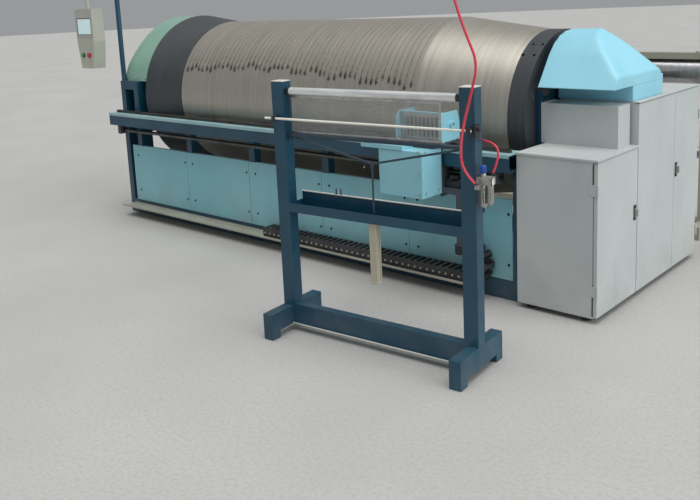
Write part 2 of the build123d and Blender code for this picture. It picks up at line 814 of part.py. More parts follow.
# The motor stands in the tall cabinet on a foot plate and drives the drum by a belt
motor_left = cabinet_left + 44
motor_face = pulley_x - 30
with BuildPart() as drive_motor:
    rod((motor_left, motor_y, motor_z), (1, 0, 0), motor_face - motor_left, motor_radius)
    rod((motor_left - 30, motor_y, motor_z), (1, 0, 0), 30, motor_radius - 12)
    base_floor = cabinet_foot + sheet
    block(motor_left + 10, motor_face - 10, motor_y - 100, motor_y + 100, base_floor + 12, motor_z - 60)
    block(motor_left + 30, motor_face - 20, motor_y - 50, motor_y + 50, motor_z + 80, motor_z + 165)
    with BuildSketch(Plane.YZ.offset(motor_left + 8)) as fins:
        with Locations((motor_y, motor_z)):
            with PolarLocations(motor_radius, 28):
                Rectangle(16, 3)
    extrude(fins.sketch, amount=motor_face - motor_left - 16)
    block(motor_left - 20, motor_face + 60, motor_y - 140, motor_y + 140, base_floor, base_floor + 12)
save(drive_motor, "drive_motor")

with BuildPart() as motor_pulley:
    rod((motor_face + body_gap, motor_y, motor_z), (1, 0, 0), pulley_x - motor_face, 22)
    rod((pulley_x, motor_y, motor_z), (1, 0, 0), pulley_width, motor_pulley_radius)
    for flange_x in (pulley_x - 4, pulley_x + pulley_width):
        rod((flange_x, motor_y, motor_z), (1, 0, 0), 4, motor_pulley_radius + 10)
save(motor_pulley, "motor_pulley")

# The belt wraps both pulleys with its straight runs tangent to them
belt_edge = 6.0


def belt_loop(grow, mode):
    with BuildSketch(Plane.YZ.offset(pulley_x + belt_edge)) as loop:
        with Locations((0, axis_z)):
            Circle(pulley_radius + grow)
        with Locations((motor_y, motor_z)):
            Circle(motor_pulley_radius + grow)
        make_hull()
    extrude(loop.sketch, amount=pulley_width - 2 * belt_edge, mode=mode)


with BuildPart() as drive_belt:
    belt_loop(body_gap + belt_thickness, Mode.ADD)
    belt_loop(body_gap, Mode.SUBTRACT)
save(drive_belt, "drive_belt")

# The moulded hood is a smooth arch, leaning in above a fold at its outer end, open below
hood_bottom = tall_top + roof_thickness
hood_front = hood_mid_y - hood_half_depth
hood_back = hood_mid_y + hood_half_depth
hood_steps = ((1.0, 0.0), (0.9, 0.21), (0.555, 0.61), (0.35, 0.785), (0.16, 0.92), (0.0, 1.0))


def hood_form(inset):
    """The hood's outer form, or, with an inset, the hollow in it."""
    step_y = cabinet_step + inset
    half_depth = hood_half_depth - inset
    front_foot = (hood_mid_y - half_depth, hood_front_z)
    back_foot = (hood_mid_y + half_depth, hood_front_z)
    with BuildSketch(Plane.YZ.offset(hood_left + inset)) as section:
        with BuildLine():
            rise = hood_top_z - inset - hood_front_z
            arch_curve(hood_steps, hood_mid_y, half_depth, hood_front_z, rise)
            floor = [(back_foot[0], hood_bottom), (step_y, hood_bottom), (step_y, hood_front_z)]
            Polyline(back_foot, *floor, front_foot)
        make_face()
    extrude(section.sketch, amount=hood_width - 2 * inset)
    end_x = hood_right - inset
    past_run = 1.2 * hood_lean_run
    past_z = hood_fold_z + 1.2 * (hood_top_z - hood_fold_z)
    lean = [
        (end_x, hood_fold_z),
        (end_x + past_run, hood_fold_z),
        (end_x + past_run, past_z),
        (end_x - past_run, past_z),
    ]
    front_profile(lean, hood_front - 5, hood_back + 5, mode=Mode.SUBTRACT)


with BuildPart() as hood_space:
    hood_form(sheet)
with BuildPart() as drive_hood:
    hood_form(0)
    add(hood_space.part, mode=Mode.SUBTRACT)
save(drive_hood, "drive_hood")

# The tail cover is a rolled arch over the bearing and the brake, standing on the tail frame
cover_half_depth = 600.0
cover_rise = 508.0
cover_steps = ((1.0, 0.0), (0.975, 0.167), (0.733, 0.516), (0.333, 0.896), (0.0, 1.0))


def cover_form(inset, mode):
    """The cover's outer form, or, with an inset, the hollow in it."""
    half_depth = cover_half_depth - inset
    with BuildSketch(Plane.YZ.offset(cover_left + inset)) as section:
        with BuildLine():
            arch_curve(cover_steps, 0, half_depth, cover_bottom, cover_rise - inset)
            Line((half_depth, cover_bottom), (-half_depth, cover_bottom))
        make_face()
    extrude(section.sketch, amount=cover_width - 2 * inset, mode=mode)


with BuildPart() as tail_cover:
    cover_form(0, Mode.ADD)
    cover_form(cover_sheet, Mode.SUBTRACT)
save(tail_cover, "tail_cover")

# Carriage: guide blocks under a saddle plate, a bracket in front of the rail and a nut on the screw
block_height = 8.0
saddle_bottom = guide_top + block_height
saddle_thickness = 14.0
saddle_top = saddle_bottom + saddle_thickness
saddle_front = -872.0
saddle_back = -655.0
bracket_back = rail_front - 6
bracket_front = bracket_back - 10
nut_radius = 28.0
nut_length = 40.0
end_plate = 12.0
arm_x = chain_loop_x - 30
arm_width = 40.0
arm_sheet = 6.0
chain_upper_top = chain_loop_z + loop_radius + chain_height / 2 + body_gap
with BuildPart() as carriage_saddle:
    for block_x in (carriage_left + 20, carriage_right - 90):
        block(block_x, block_x + 70, guide_y - 24, guide_y + 24, cover_top + 4, saddle_bottom)
    slot = guide_width / 2 + body_gap
    slot_top = guide_top + body_gap
    block(
        carriage_left,
        carriage_right,
        guide_y - slot,
        guide_y + slot,
        cover_top,
        slot_top,
        mode=Mode.SUBTRACT,
    )
    block(carriage_left, cheek_right, saddle_front, saddle_back, saddle_bottom, saddle_top)
    block(carriage_left, carriage_right, bracket_front, bracket_back, carriage_bottom, saddle_bottom)
    plate_left = carriage_right - end_plate
    plate_bottom = carriage_bottom - 20
    block(plate_left, carriage_right, bracket_front, saddle_back - 19, plate_bottom, rail_bottom - 8)
    rod((carriage_right - nut_length, screw_y, screw_z), (1, 0, 0), nut_length, nut_radius)
    rod(
        (carriage_right - nut_length, screw_y, screw_z),
        (1, 0, 0),
        nut_length,
        screw_radius + running_clearance,
        mode=Mode.SUBTRACT,
    )
    arm_left = arm_x - arm_width / 2
    arm_right = arm_x + arm_width / 2
    block(carriage_right, arm_right, bracket_front, bracket_back, carriage_bottom, carriage_bottom + 35)
    block(arm_left, arm_right, bracket_front, bracket_front + arm_sheet, chain_upper_top, carriage_bottom)
    arm_back = chain_y + chain_width / 2
    block(arm_left, arm_right, bracket_front, arm_back, chain_upper_top, chain_upper_top + arm_sheet)
save(carriage_saddle, "carriage_saddle")

# Its sheet cover is a box open to the bracket, recessed underneath, with a shelf plate on top
with BuildPart() as carriage_cover:
    block(carriage_left, carriage_right, carriage_front, bracket_front, carriage_bottom, carriage_top)
    block(
        carriage_left + sheet,
        carriage_right - sheet,
        carriage_front + sheet,
        bracket_front + 1,
        carriage_bottom + 18,
        carriage_top - sheet,
        mode=Mode.SUBTRACT,
    )
    block(
        carriage_left + 25,
        carriage_right - 25,
        carriage_front + 25,
        bracket_front + 1,
        carriage_bottom - 1,
        carriage_bottom + 19,
        mode=Mode.SUBTRACT,
    )
    shelf_top = carriage_top + shelf_thickness
    block(shelf_left, shelf_right, carriage_front - 5, carriage_front + 100, carriage_top, shelf_top)
    block(
        shelf_left + 4,
        shelf_right - 4,
        carriage_front - 1,
        carriage_front + 96,
        carriage_top - sheet - 1,
        shelf_top - 4,
        mode=Mode.SUBTRACT,
    )
    shelf_back = carriage_front + 100
    block(carriage_left, shelf_right, carriage_front, shelf_back, carriage_top - sheet, carriage_top)
save(carriage_cover, "carriage_cover")

# Two cheeks on the saddle hold the section reed and the measuring roller
cheek_front = -866.0
cheek_back = -662.0
cheek_sheet = 6.0
cheek_slope = 30.0
roller_y = -745.0
measuring_z = 1010.0
measuring_radius = 45.0
journal = 10.0
bush_radius = 24.0
bush_length = 12.0
with BuildPart() as reed_cheeks:
    for cheek_x in (cheek_left, cheek_right - cheek_sheet):
        side_profile(
            [
                (cheek_front, saddle_top),
                (cheek_front, cheek_top - 45),
                (cheek_front + cheek_slope, cheek_top),
                (cheek_back - cheek_slope, cheek_top),
                (cheek_back, saddle_top + 90),
                (cheek_back, saddle_top),
            ],
            cheek_x,
            cheek_x + cheek_sheet,
        )
    for cheek_x, direction in ((cheek_left, -1), (cheek_right, 1)):
        rod((cheek_x, roller_y, measuring_z), (direction, 0, 0), bush_length, bush_radius)
    rod(
        (cheek_left - bush_length, roller_y, measuring_z),
        (1, 0, 0),
        cheek_right - cheek_left + 2 * bush_length,
        journal + running_clearance,
        mode=Mode.SUBTRACT,
    )
    reed_wall_y = cheek_front + cheek_slope + 10
    reed_wall = 8.0
    reed_cap_z = cheek_top - 8
    section_reed_left = cheek_left + cheek_sheet
    section_reed_right = cheek_right - cheek_sheet
    cap_back = reed_wall_y + 14
    block(section_reed_left, section_reed_right, reed_wall_y - 6, cap_back, reed_cap_z, cheek_top)
save(reed_cheeks, "reed_cheeks")

section_reed_mid = (section_reed_left + section_reed_right) / 2
with BuildPart() as section_reed:
    with BuildSketch(Plane.XZ.offset(-reed_wall_y - reed_wall)):
        with Locations((section_reed_mid, (saddle_top + reed_cap_z) / 2)):
            Rectangle(section_reed_right - section_reed_left, reed_cap_z - saddle_top)
            with GridLocations(dent_pitch, 1, dent_count, 1):
                Rectangle(dent_gap, reed_cap_z - saddle_top - 44, mode=Mode.SUBTRACT)
    extrude(amount=reed_wall)
save(section_reed, "section_reed")

with BuildPart() as measuring_roller:
    roller_gap = 4.0
    roller_length = section_reed_right - section_reed_left - 2 * roller_gap
    rod((section_reed_left + roller_gap, roller_y, measuring_z), (1, 0, 0), roller_length, measuring_radius)
    rod((cheek_left - 6, roller_y, measuring_z), (1, 0, 0), cheek_right - cheek_left + 12, journal)
save(measuring_roller, "measuring_roller")

# The traverse motor hangs on the end plate under the rail
motor_flange = 104.0
traverse_motor_y = -715.0
traverse_motor_z = 650.0
traverse_motor_radius = 56.0
with BuildPart() as traverse_motor:
    flange_y = traverse_motor_y + 4
    block(
        carriage_right,
        carriage_right + 8,
        flange_y - motor_flange / 2,
        flange_y + motor_flange / 2 - 20,
        traverse_motor_z - motor_flange / 2 + 4,
        traverse_motor_z + motor_flange / 2 - 4,
    )
    rod((carriage_right + 8, traverse_motor_y, traverse_motor_z), (1, 0, 0), 92, traverse_motor_radius)
    rod((carriage_right + 100, traverse_motor_y, traverse_motor_z), (1, 0, 0), 22, traverse_motor_radius - 14)
save(traverse_motor, "traverse_motor")

# Guide stand, turned on the floor: everything on it is placed in its own plane
stand_axis = (cos(radians(stand_turn)), sin(radians(stand_turn)), 0)
stand = Plane(origin=(stand_x, stand_y, 0), x_dir=stand_axis, z_dir=(0, 0, 1))
right_post = stand_width - post_width
post_wall = 4.0
with BuildPart() as stand_frame:
    for post_x in (0, right_post):
        block(post_x, post_x + post_width, 0, post_depth, foot_height, stand_height, base=stand)
        block(
            post_x + post_wall,
            post_x + post_width - post_wall,
            post_wall,
            post_depth - post_wall,
            foot_height,
            stand_height,
            base=stand,
            mode=Mode.SUBTRACT,
        )
    for foot_x in (0, stand_width - foot_width):
        block(foot_x, foot_x + foot_width, foot_front, foot_back, 0, foot_height, base=stand)
        foot_far = foot_x + foot_width
        arch_front = foot_front + 62
        arch_back = foot_back - 62
        block(foot_x, foot_far, arch_front, arch_back, 0, foot_arch, base=stand, mode=Mode.SUBTRACT)
    tie_in = foot_width
    tie_out = stand_width - foot_width
    block(tie_in, tie_out, 0, 45, tie_bottom, tie_top, base=stand)
    block(tie_in, tie_out, 5, 45, tie_bottom + 5, tie_top - 5, base=stand, mode=Mode.SUBTRACT)
    block(tie_in, tie_out, -8, 52, tie_bottom - 5, tie_bottom, base=stand)
save(stand_frame, "stand_frame")

cap = 4.0
tray_in = post_width
tray_out = right_post
tray_wall = 3.0
with BuildPart() as rod_and_caps:
    for post_x in (0, right_post):
        block(post_x, post_x + post_width, 0, post_depth, stand_height, stand_height + cap, base=stand)
    strip_front = tool_tray_back - 9
    strip_top = tool_tray_wall + 5
    block(tray_in, tray_out, strip_front, tool_tray_back, tool_tray_wall, strip_top, base=stand)
    rod((-32, rod_y, rod_z), (1, 0, 0), stand_width + 26, rod_radius, base=stand)
save(rod_and_caps, "rod_and_caps")

lift_y = 32.0
piston_rod = 5.0
piston_radius = 16.0
piston_height = 18.0
lift_travel = 120.0
with BuildPart() as tool_tray:
    block(tray_in, tray_out, 0, tool_tray_back, tool_tray_bottom, tool_tray_wall, base=stand)
    block(
        tray_in + tray_wall,
        tray_out - tray_wall,
        tray_wall,
        tool_tray_back - tray_wall,
        tool_tray_bottom + tray_wall,
        tool_tray_wall,
        base=stand,
        mode=Mode.SUBTRACT,
    )
    wall_front = tool_tray_back - tray_wall
    block(tray_in, tray_out, 0, wall_front, tool_tray_lip, tool_tray_wall, base=stand, mode=Mode.SUBTRACT)
    rod_hole = piston_rod + 4
    hole_seat = (yoke_tip_x, lift_y, tool_tray_bottom)
    rod(hole_seat, (0, 0, 1), tray_wall, rod_hole, base=stand, mode=Mode.SUBTRACT)
save(tool_tray, "tool_tray")

# Black brackets on the posts: journals of the top roller, clamps of the guide rod, a hose socket
bracket_reach = 26.0
bracket_half = 16.0
roller_journal = 6.0
clamp_half = 12.0
clamp_length = 20.0
socket_z = 1096.0
with BuildPart() as stand_brackets:
    for near in (tray_in, tray_out - bracket_reach):
        block(
            near,
            near + bracket_reach,
            lift_y - bracket_half,
            lift_y + bracket_half,
            roller_z - bracket_half,
            roller_z + bracket_half,
            base=stand,
        )
        rod(
            (near, lift_y, roller_z),
            (1, 0, 0),
            bracket_reach,
            roller_journal + running_clearance,
            base=stand,
            mode=Mode.SUBTRACT,
        )
    clamp_bottom = rod_z - clamp_half
    clamp_top = rod_z + clamp_half
    for clamp_x in (20.0, stand_width - 25.0):
        clamp_far = clamp_x + clamp_length
        block(clamp_x, clamp_far, rod_y - clamp_half, 0, clamp_bottom, clamp_top, base=stand)
        rod((clamp_x, rod_y, rod_z), (1, 0, 0), clamp_length, rod_radius, base=stand, mode=Mode.SUBTRACT)
    block(stand_width, stand_width + 10, -14, 30, rod_z - 32, rod_z + 24, base=stand)
    rod((stand_width + 10, 8, rod_z + 4), (1, 0, 0), 12, 9, base=stand)
    socket_left = right_post + 20
    socket_back = post_depth + 28
    block(socket_left, socket_left + 35, post_depth, socket_back, socket_z - 18, socket_z + 18, base=stand)
save(stand_brackets, "stand_brackets")

with BuildPart() as top_roller:
    roller_span = tray_out - tray_in - 2 * bracket_reach
    roller_start = (tray_in + bracket_reach + 1, lift_y, roller_z)
    rod(roller_start, (1, 0, 0), roller_span - 2, roller_radius, base=stand)
    rod((tray_in + 4, lift_y, roller_z), (1, 0, 0), tray_out - tray_in - 8, roller_journal, base=stand)
save(top_roller, "top_roller")

# The leasing reed rides up and down on a yoke that a cylinder under the tray lifts
reed_y = 44.0
reed_thickness = 6.0
reed_frame = 12.0
with BuildPart() as leasing_reed:
    corner = stand.from_local_coords(Vector(0, reed_y + reed_thickness, 0))
    with BuildSketch(Plane(origin=corner, x_dir=stand.x_dir, z_dir=-stand.y_dir)):
        with Locations(((reed_left + reed_right) / 2, (reed_bottom + reed_top) / 2)):
            Rectangle(reed_right - reed_left, reed_top - reed_bottom)
            pitch = (reed_right - reed_left - 2 * reed_frame) / reed_dents
            with GridLocations(pitch, 1, reed_dents, 1):
                Rectangle(pitch * 0.72, reed_top - reed_bottom - 2 * reed_frame, mode=Mode.SUBTRACT)
    extrude(amount=reed_thickness)
save(leasing_reed, "leasing_reed")

yoke_bar = 14.0
piston_z = 500.0
with BuildPart() as reed_yoke:
    carrier_left = tray_in + 3
    carrier_right = tray_out - 3
    block(carrier_left, carrier_right, lift_y - 12, lift_y + 22, carrier_bottom, reed_bottom, base=stand)
    left_end = carrier_left + 25
    right_end = carrier_right - 25
    yoke = [
        (left_end, carrier_bottom),
        (yoke_tip_x, yoke_tip_z),
        (right_end, carrier_bottom),
        (right_end + 20, carrier_bottom),
        (yoke_tip_x + 6, yoke_tip_z - yoke_bar),
        (yoke_tip_x - 6, yoke_tip_z - yoke_bar),
        (left_end - 20, carrier_bottom),
    ]
    front_profile(yoke, lift_y - yoke_bar / 2, lift_y + yoke_bar / 2, base=stand)
    rod((yoke_tip_x, lift_y, piston_z), (0, 0, 1), yoke_tip_z - piston_z - 5, piston_rod, base=stand)
    rod((yoke_tip_x, lift_y, piston_z), (0, 0, 1), piston_height, piston_radius, base=stand)
save(reed_yoke, "reed_yoke")

with BuildPart() as lift_cylinder:
    cylinder_half = cylinder_side / 2
    bore_bottom = piston_z - lift_travel - 10
    bore_top = tool_tray_bottom - 25
    block(
        yoke_tip_x - cylinder_half,
        yoke_tip_x + cylinder_half,
        lift_y - cylinder_half,
        lift_y + cylinder_half,
        cylinder_bottom,
        tool_tray_bottom,
        base=stand,
    )
    rod(
        (yoke_tip_x, lift_y, bore_bottom),
        (0, 0, 1),
        bore_top - bore_bottom,
        piston_radius + body_gap,
        base=stand,
        mode=Mode.SUBTRACT,
    )
    rod(
        (yoke_tip_x, lift_y, bore_top),
        (0, 0, 1),
        tool_tray_bottom - bore_top,
        piston_rod + running_clearance,
        base=stand,
        mode=Mode.SUBTRACT,
    )
save(lift_cylinder, "lift_cylinder")

# Air service unit on the outer face of the right post: regulator, filter bowls, gauge, two fittings
unit_y = 23.0
regulator_x = stand_width + 26
filter_x = stand_width + 60
unit_bottom = 908.0
unit_top = 944.0
knob_radius = 16.0
hose_radius = 6.0
unit_hose_radius = 5.0
bowl_drain = 24.0
hose_end = (stand_width + 7, -20.0, 917.0)
hose_turn = (stand_width - 38, -36.0, 968.0)
unit_hose_start = (stand_width + 69, 32.0, 962.0)
unit_hose_turn = (stand_width + 101, 41.0, 1044.0)
with BuildPart() as air_unit:
    block(stand_width, stand_width + 78, unit_y - 21, unit_y + 21, unit_bottom, unit_top, base=stand)
    rod((regulator_x, unit_y, unit_top), (0, 0, 1), 14, knob_radius - 3, base=stand)
    rod((filter_x, unit_y - 21, 926), (0, -1, 0), 14, 17, base=stand)
    for bowl_x, radius, bottom in ((regulator_x, 17, 802), (filter_x, 14, 816)):
        rod((bowl_x, unit_y, bottom + 8), (0, 0, 1), unit_bottom - bottom - 8, radius, base=stand)
        rod((bowl_x, unit_y, bottom), (0, 0, 1), 8, radius - 6, base=stand)
    rod((regulator_x, unit_y, 802 - bowl_drain), (0, 0, 1), bowl_drain, 5, base=stand)
    heading = tuple(end - turn for end, turn in zip(hose_end, hose_turn))
    rod(hose_end, heading, 16, hose_radius + 3, base=stand)
    block(stand_width + 10, stand_width + 30, -32, unit_y - 21, 892, 912, base=stand)
    heading = tuple(turn - start for start, turn in zip(unit_hose_start, unit_hose_turn))
    socket = tuple(start - 0.24 * reach for start, reach in zip(unit_hose_start, heading))
    rod(socket, heading, 0.24 * sqrt(sum(reach**2 for reach in heading)), unit_hose_radius + 2, base=stand)
save(air_unit, "air_unit")

with BuildPart() as pressure_knob:
    rod((regulator_x, unit_y, unit_top + 14 + body_gap), (0, 0, 1), 36, knob_radius, base=stand)
save(pressure_knob, "pressure_knob")


def hose(points, radius):
    """A hose of straight runs and tangent bends through hand-chosen points of the stand's plane."""
    spots = [stand.from_local_coords(Vector(*point)) for point in points]
    bends = []
    for before, corner, after in zip(spots, spots[1:], spots[2:]):
        turn = radians((corner - before).get_angle(after - corner))
        shorter = min((corner - before).length, (after - corner).length)
        bends.append(0.45 * shorter / tan(turn / 2))
    with BuildLine() as route:
        FilletPolyline(*spots, radius=bends)
    with BuildSketch(Plane(origin=spots[0], z_dir=spots[1] - spots[0])) as ring:
        Circle(radius)
    sweep(ring.sketch, path=route.line)
    return bends


supply_points = [
    (stand_width - 84, -44.0, 1800.0),
    (stand_width - 57, -44.0, 1690.0),
    (stand_width - 5, -44.0, 1555.0),
    (stand_width + 43, -44.0, 1447.0),
    (stand_width + 7, -44.0, 1310.0),
    (stand_width - 33, -44.0, 1175.0),
    (stand_width - 51, -44.0, 1052.0),
    hose_turn,
    hose_end,
]
unit_hose_points = [
    unit_hose_start,
    unit_hose_turn,
    (stand_width + 60, 60.0, socket_z - 3),
    (stand_width - 18, 79.0, socket_z),
]
with BuildPart() as supply_hose:
    print("supply hose bends", [round(bend) for bend in hose(supply_points, hose_radius)])
save(supply_hose, "supply_hose")
with BuildPart() as unit_hose:
    print("unit hose bends", [round(bend) for bend in hose(unit_hose_points, unit_hose_radius)])
save(unit_hose, "unit_hose")

# The supply hose hangs from an end piece under the ceiling
with BuildPart() as hose_hanger:
    top = supply_points[0]
    heading = tuple(end - turn for end, turn in zip(top, supply_points[1]))
    rod(top, heading, 26, hose_radius + 3, base=stand)
    rod((top[0] - 6, top[1], top[2] + 20), (0, 0, 1), 70, 4, base=stand)
    rod((top[0] - 6, top[1], top[2] + 90), (0, 0, 1), 6, 28, base=stand)
save(hose_hanger, "hose_hanger")

# Beaming unit: two stands, cross beams and arms that carry the roller and the weaver's beam
beaming_width = 70.0
post_front = beaming_y - 70
post_back = beaming_y + 60
beaming_height = 1265.0
top_beam_height = 45.0
beam_journal = 40.0
guide_journal = 20.0
beam_flange = 14.0
with BuildPart() as beaming_frame:
    for side_x in (beaming_left, beaming_right - beaming_width):
        far_x = side_x + beaming_width
        block(side_x, far_x, post_front, post_back, 0, beaming_height)
        block(side_x, far_x, post_front - 150, warp_beam_y + 210, 0, 90)
        block(side_x, far_x, post_back, warp_beam_y + 110, warp_beam_z - 110, warp_beam_z + 110)
        rod(
            (side_x, warp_beam_y, warp_beam_z),
            (1, 0, 0),
            beaming_width,
            beam_journal + running_clearance,
            mode=Mode.SUBTRACT,
        )
        rod(
            (side_x, beaming_y, guide_roller_z),
            (1, 0, 0),
            beaming_width,
            guide_journal + running_clearance,
            mode=Mode.SUBTRACT,
        )
    bay_left = beaming_left + beaming_width
    bay_right = beaming_right - beaming_width
    top_beam_z = beaming_height - top_beam_height
    block(bay_left, bay_right, beaming_y - 60, beaming_y + 50, top_beam_z, beaming_height)
    block(bay_left, bay_right, beaming_y - 45, beaming_y + 45, 20, 90)
save(beaming_frame, "beaming_frame")

with BuildPart() as beaming_roller:
    bay = bay_right - bay_left
    journal_length = beaming_right - beaming_left - 10
    rod((bay_left + 4, beaming_y, guide_roller_z), (1, 0, 0), bay - 8, guide_roller_radius)
    rod((beaming_left + 5, beaming_y, guide_roller_z), (1, 0, 0), journal_length, guide_journal)
save(beaming_roller, "beaming_roller")

with BuildPart() as warp_beam:
    rod((-flange_offset, warp_beam_y, warp_beam_z), (1, 0, 0), 2 * flange_offset, warp_beam_radius)
    for side in (-1, 1):
        centre = (side * flange_offset, warp_beam_y, warp_beam_z)
        with BuildSketch(Plane(origin=centre, x_dir=(0, 1, 0), z_dir=(side, 0, 0))):
            Circle(flange_radius)
            with PolarLocations(250, 8):
                Circle(55, mode=Mode.SUBTRACT)
    extrude(amount=beam_flange)
    left_stub = -flange_offset - beaming_left - 5
    right_stub = beaming_right - flange_offset - 5
    rod((beaming_left + 5, warp_beam_y, warp_beam_z), (1, 0, 0), left_stub, beam_journal)
    rod((flange_offset, warp_beam_y, warp_beam_z), (1, 0, 0), right_stub, beam_journal)
    for side in (-1, 1):
        collar = (side * (flange_offset + beam_flange), warp_beam_y, warp_beam_z)
        rod(collar, (side, 0, 0), 60, beam_journal + 24)
save(warp_beam, "warp_beam")

# The pendant hangs from a boom that swings about the mast
boom_run = (pendant_x - mast_x, pendant_y - mast_y, 0)
boom_reach = sqrt(boom_run[0] ** 2 + boom_run[1] ** 2)
boom = Plane(origin=(mast_x, mast_y, 0), x_dir=boom_run, z_dir=(0, 0, 1))
boom_mid = mast_top - boom_depth / 2
tube_radius = 16.0
with BuildPart() as pendant_arm:
    rod((0, 0, mast_top - boom_depth), (0, 0, 1), boom_depth, mast_radius + mast_wall, base=boom)
    block(0, boom_reach + tube_radius + 6, -20, 20, boom_mid - 22, boom_mid + 22, base=boom)
    bore = mast_radius + running_clearance
    rod((0, 0, mast_top - boom_depth), (0, 0, 1), boom_depth, bore, base=boom, mode=Mode.SUBTRACT)
    rod((boom_reach, 0, pendant_top), (0, 0, 1), boom_mid - pendant_top, tube_radius, base=boom)
save(pendant_arm, "pendant_arm")

screen_bottom = 1526.0
screen_top = 1665.0
screen_inset = 18.0
taper_z = 1470.0
button_z = 1360.0
button_radius = 15.0
button_offsets = (-45.0, 45.0)
button_travel = 4.0
face_y = pendant_y - pendant_depth / 2
with BuildPart() as pendant_box:
    box_edge = pendant_width / 2
    outline = [
        (pendant_x - box_edge, pendant_top),
        (pendant_x + box_edge, pendant_top),
        (pendant_x + box_edge, taper_z),
        (pendant_x + box_edge - 35, pendant_bottom),
        (pendant_x - box_edge + 35, pendant_bottom),
        (pendant_x - box_edge, taper_z),
    ]
    front_profile(outline, face_y, face_y + pendant_depth)
    block(
        pendant_x - box_edge + screen_inset,
        pendant_x + box_edge - screen_inset,
        face_y,
        face_y + 3,
        screen_bottom,
        screen_top,
        mode=Mode.SUBTRACT,
    )
    for shift in button_offsets:
        rod(
            (pendant_x + shift, face_y, button_z),
            (0, 1, 0),
            20,
            button_radius - 4 + running_clearance,
            mode=Mode.SUBTRACT,
        )
save(pendant_box, "pendant_box")


def push_button(shift, head_radius, name):
    """A push button: a stem in the pendant's face and a head that stands off it by the travel."""
    with BuildPart() as button:
        seat = (pendant_x + shift, face_y, button_z)
        rod(seat, (0, 1, 0), 20 - button_travel - 1, button_radius - 4)
        rod(seat, (0, -1, 0), button_travel + 1, button_radius - 4)
        rod((seat[0], face_y - button_travel - 1, button_z), (0, -1, 0), 9, head_radius)
    save(button, name)


push_button(button_offsets[0], button_radius, "start_button")
push_button(button_offsets[1], button_radius + 5, "stop_button")
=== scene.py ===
from math import cos, pi, radians, sin

import bmesh
import bpy
from mathutils import Matrix, Vector


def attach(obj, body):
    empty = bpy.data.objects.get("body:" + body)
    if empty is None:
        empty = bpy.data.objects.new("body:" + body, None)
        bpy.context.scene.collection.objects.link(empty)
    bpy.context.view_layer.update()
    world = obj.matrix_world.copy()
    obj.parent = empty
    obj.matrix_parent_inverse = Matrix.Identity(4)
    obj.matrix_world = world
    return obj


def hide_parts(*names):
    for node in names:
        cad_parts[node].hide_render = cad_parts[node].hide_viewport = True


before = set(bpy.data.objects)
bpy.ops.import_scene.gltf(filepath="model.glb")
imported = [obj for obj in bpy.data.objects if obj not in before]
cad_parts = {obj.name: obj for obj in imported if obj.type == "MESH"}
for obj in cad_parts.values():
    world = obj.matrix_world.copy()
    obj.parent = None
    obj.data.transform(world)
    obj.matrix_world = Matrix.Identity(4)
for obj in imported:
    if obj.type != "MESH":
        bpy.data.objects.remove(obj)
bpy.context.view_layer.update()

# Viewpoint: the camera stands in front of the drive end at eye height, with the lens turned
# slightly down and to the left. The picture is wide, so the optical axis lies above its middle.
eye = Vector((4.085796, -4.574266, 1.75))
heading, tilt, lean = radians(-42.2289), radians(-10.49321), radians(-2.60601)
picture_width_px, focal_length_px, axis_rise_px = 700, 832.189, 100
film_width_mm = 36
ahead = Vector((sin(heading) * cos(tilt), cos(heading) * cos(tilt), sin(tilt)))
level = Vector((cos(heading), -sin(heading), 0))
above = level.cross(ahead)
across = level * cos(lean) + above * sin(lean)
upward = above * cos(lean) - level * sin(lean)
camera = bpy.data.objects.new("camera", bpy.data.cameras.new("camera"))
bpy.context.scene.collection.objects.link(camera)
bpy.context.scene.camera = camera
camera.data.sensor_fit = "HORIZONTAL"
camera.data.sensor_width = film_width_mm
camera.data.lens = focal_length_px * film_width_mm / picture_width_px
camera.data.shift_y = -axis_rise_px / picture_width_px
camera.data.clip_end = 200
camera.matrix_world = Matrix.Translation(eye) @ Matrix((across, upward, -ahead)).transposed().to_4x4()

# Soft light: a warm white light from overhead and a weaker, cooler one from the drive end, both very
# large and soft, with an even grey surround that fills the shadows.
surround_tone, surround_strength = (0.94, 0.97, 1.0, 1), 0.33
lamp_height = 5
world = bpy.data.worlds.new("surround")
bpy.context.scene.world = world
world.use_nodes = True
surround = world.node_tree.nodes["Background"]
surround.inputs["Color"].default_value = surround_tone
surround.inputs["Strength"].default_value = surround_strength
bpy.context.scene.view_settings.view_transform = "Standard"


def soft_light(name, toward, spread, power, tone):
    lamp = bpy.data.lights.new(name, "SUN")
    lamp.energy, lamp.color, lamp.angle = power, tone, radians(spread)
    holder = bpy.data.objects.new(name, lamp)
    holder.location = (0, 0, lamp_height)
    holder.rotation_euler = Vector(toward).to_track_quat("-Z", "Y").to_euler()
    bpy.context.scene.collection.objects.link(holder)


soft_light("roof_light", (-0.12, 0.14, -1.0), 55, 2.25, (1.0, 0.99, 0.97))
soft_light("end_light", (-1.0, -0.12, -0.42), 50, 1.35, (0.97, 0.99, 1.0))


# Floor: a plain pale slab, with a faint cloudiness and fine flecks as ground concrete has.
# It lies a hair below the feet and reaches far past the picture.
def shade(red, green, blue):
    """A finish colour as seen in daylight, 0 to 255 a channel, turned into linear light."""
    seen = [value / 255 for value in (red, green, blue)]
    return (*[v / 12.92 if v < 0.04 else ((v + 0.055) / 1.055) ** 2.4 for v in seen], 1.0)


def step(tree, kind, feeds=(), **settings):
    """One node of a finish, with its inputs fed by other nodes or set to plain values."""
    made = tree.nodes.new(kind)
    for key, value in settings.items():
        setattr(made, key, value)
    for socket, value in feeds:
        if isinstance(value, bpy.types.NodeSocket):
            tree.links.new(value, made.inputs[socket])
        else:
            made.inputs[socket].default_value = value
    return made


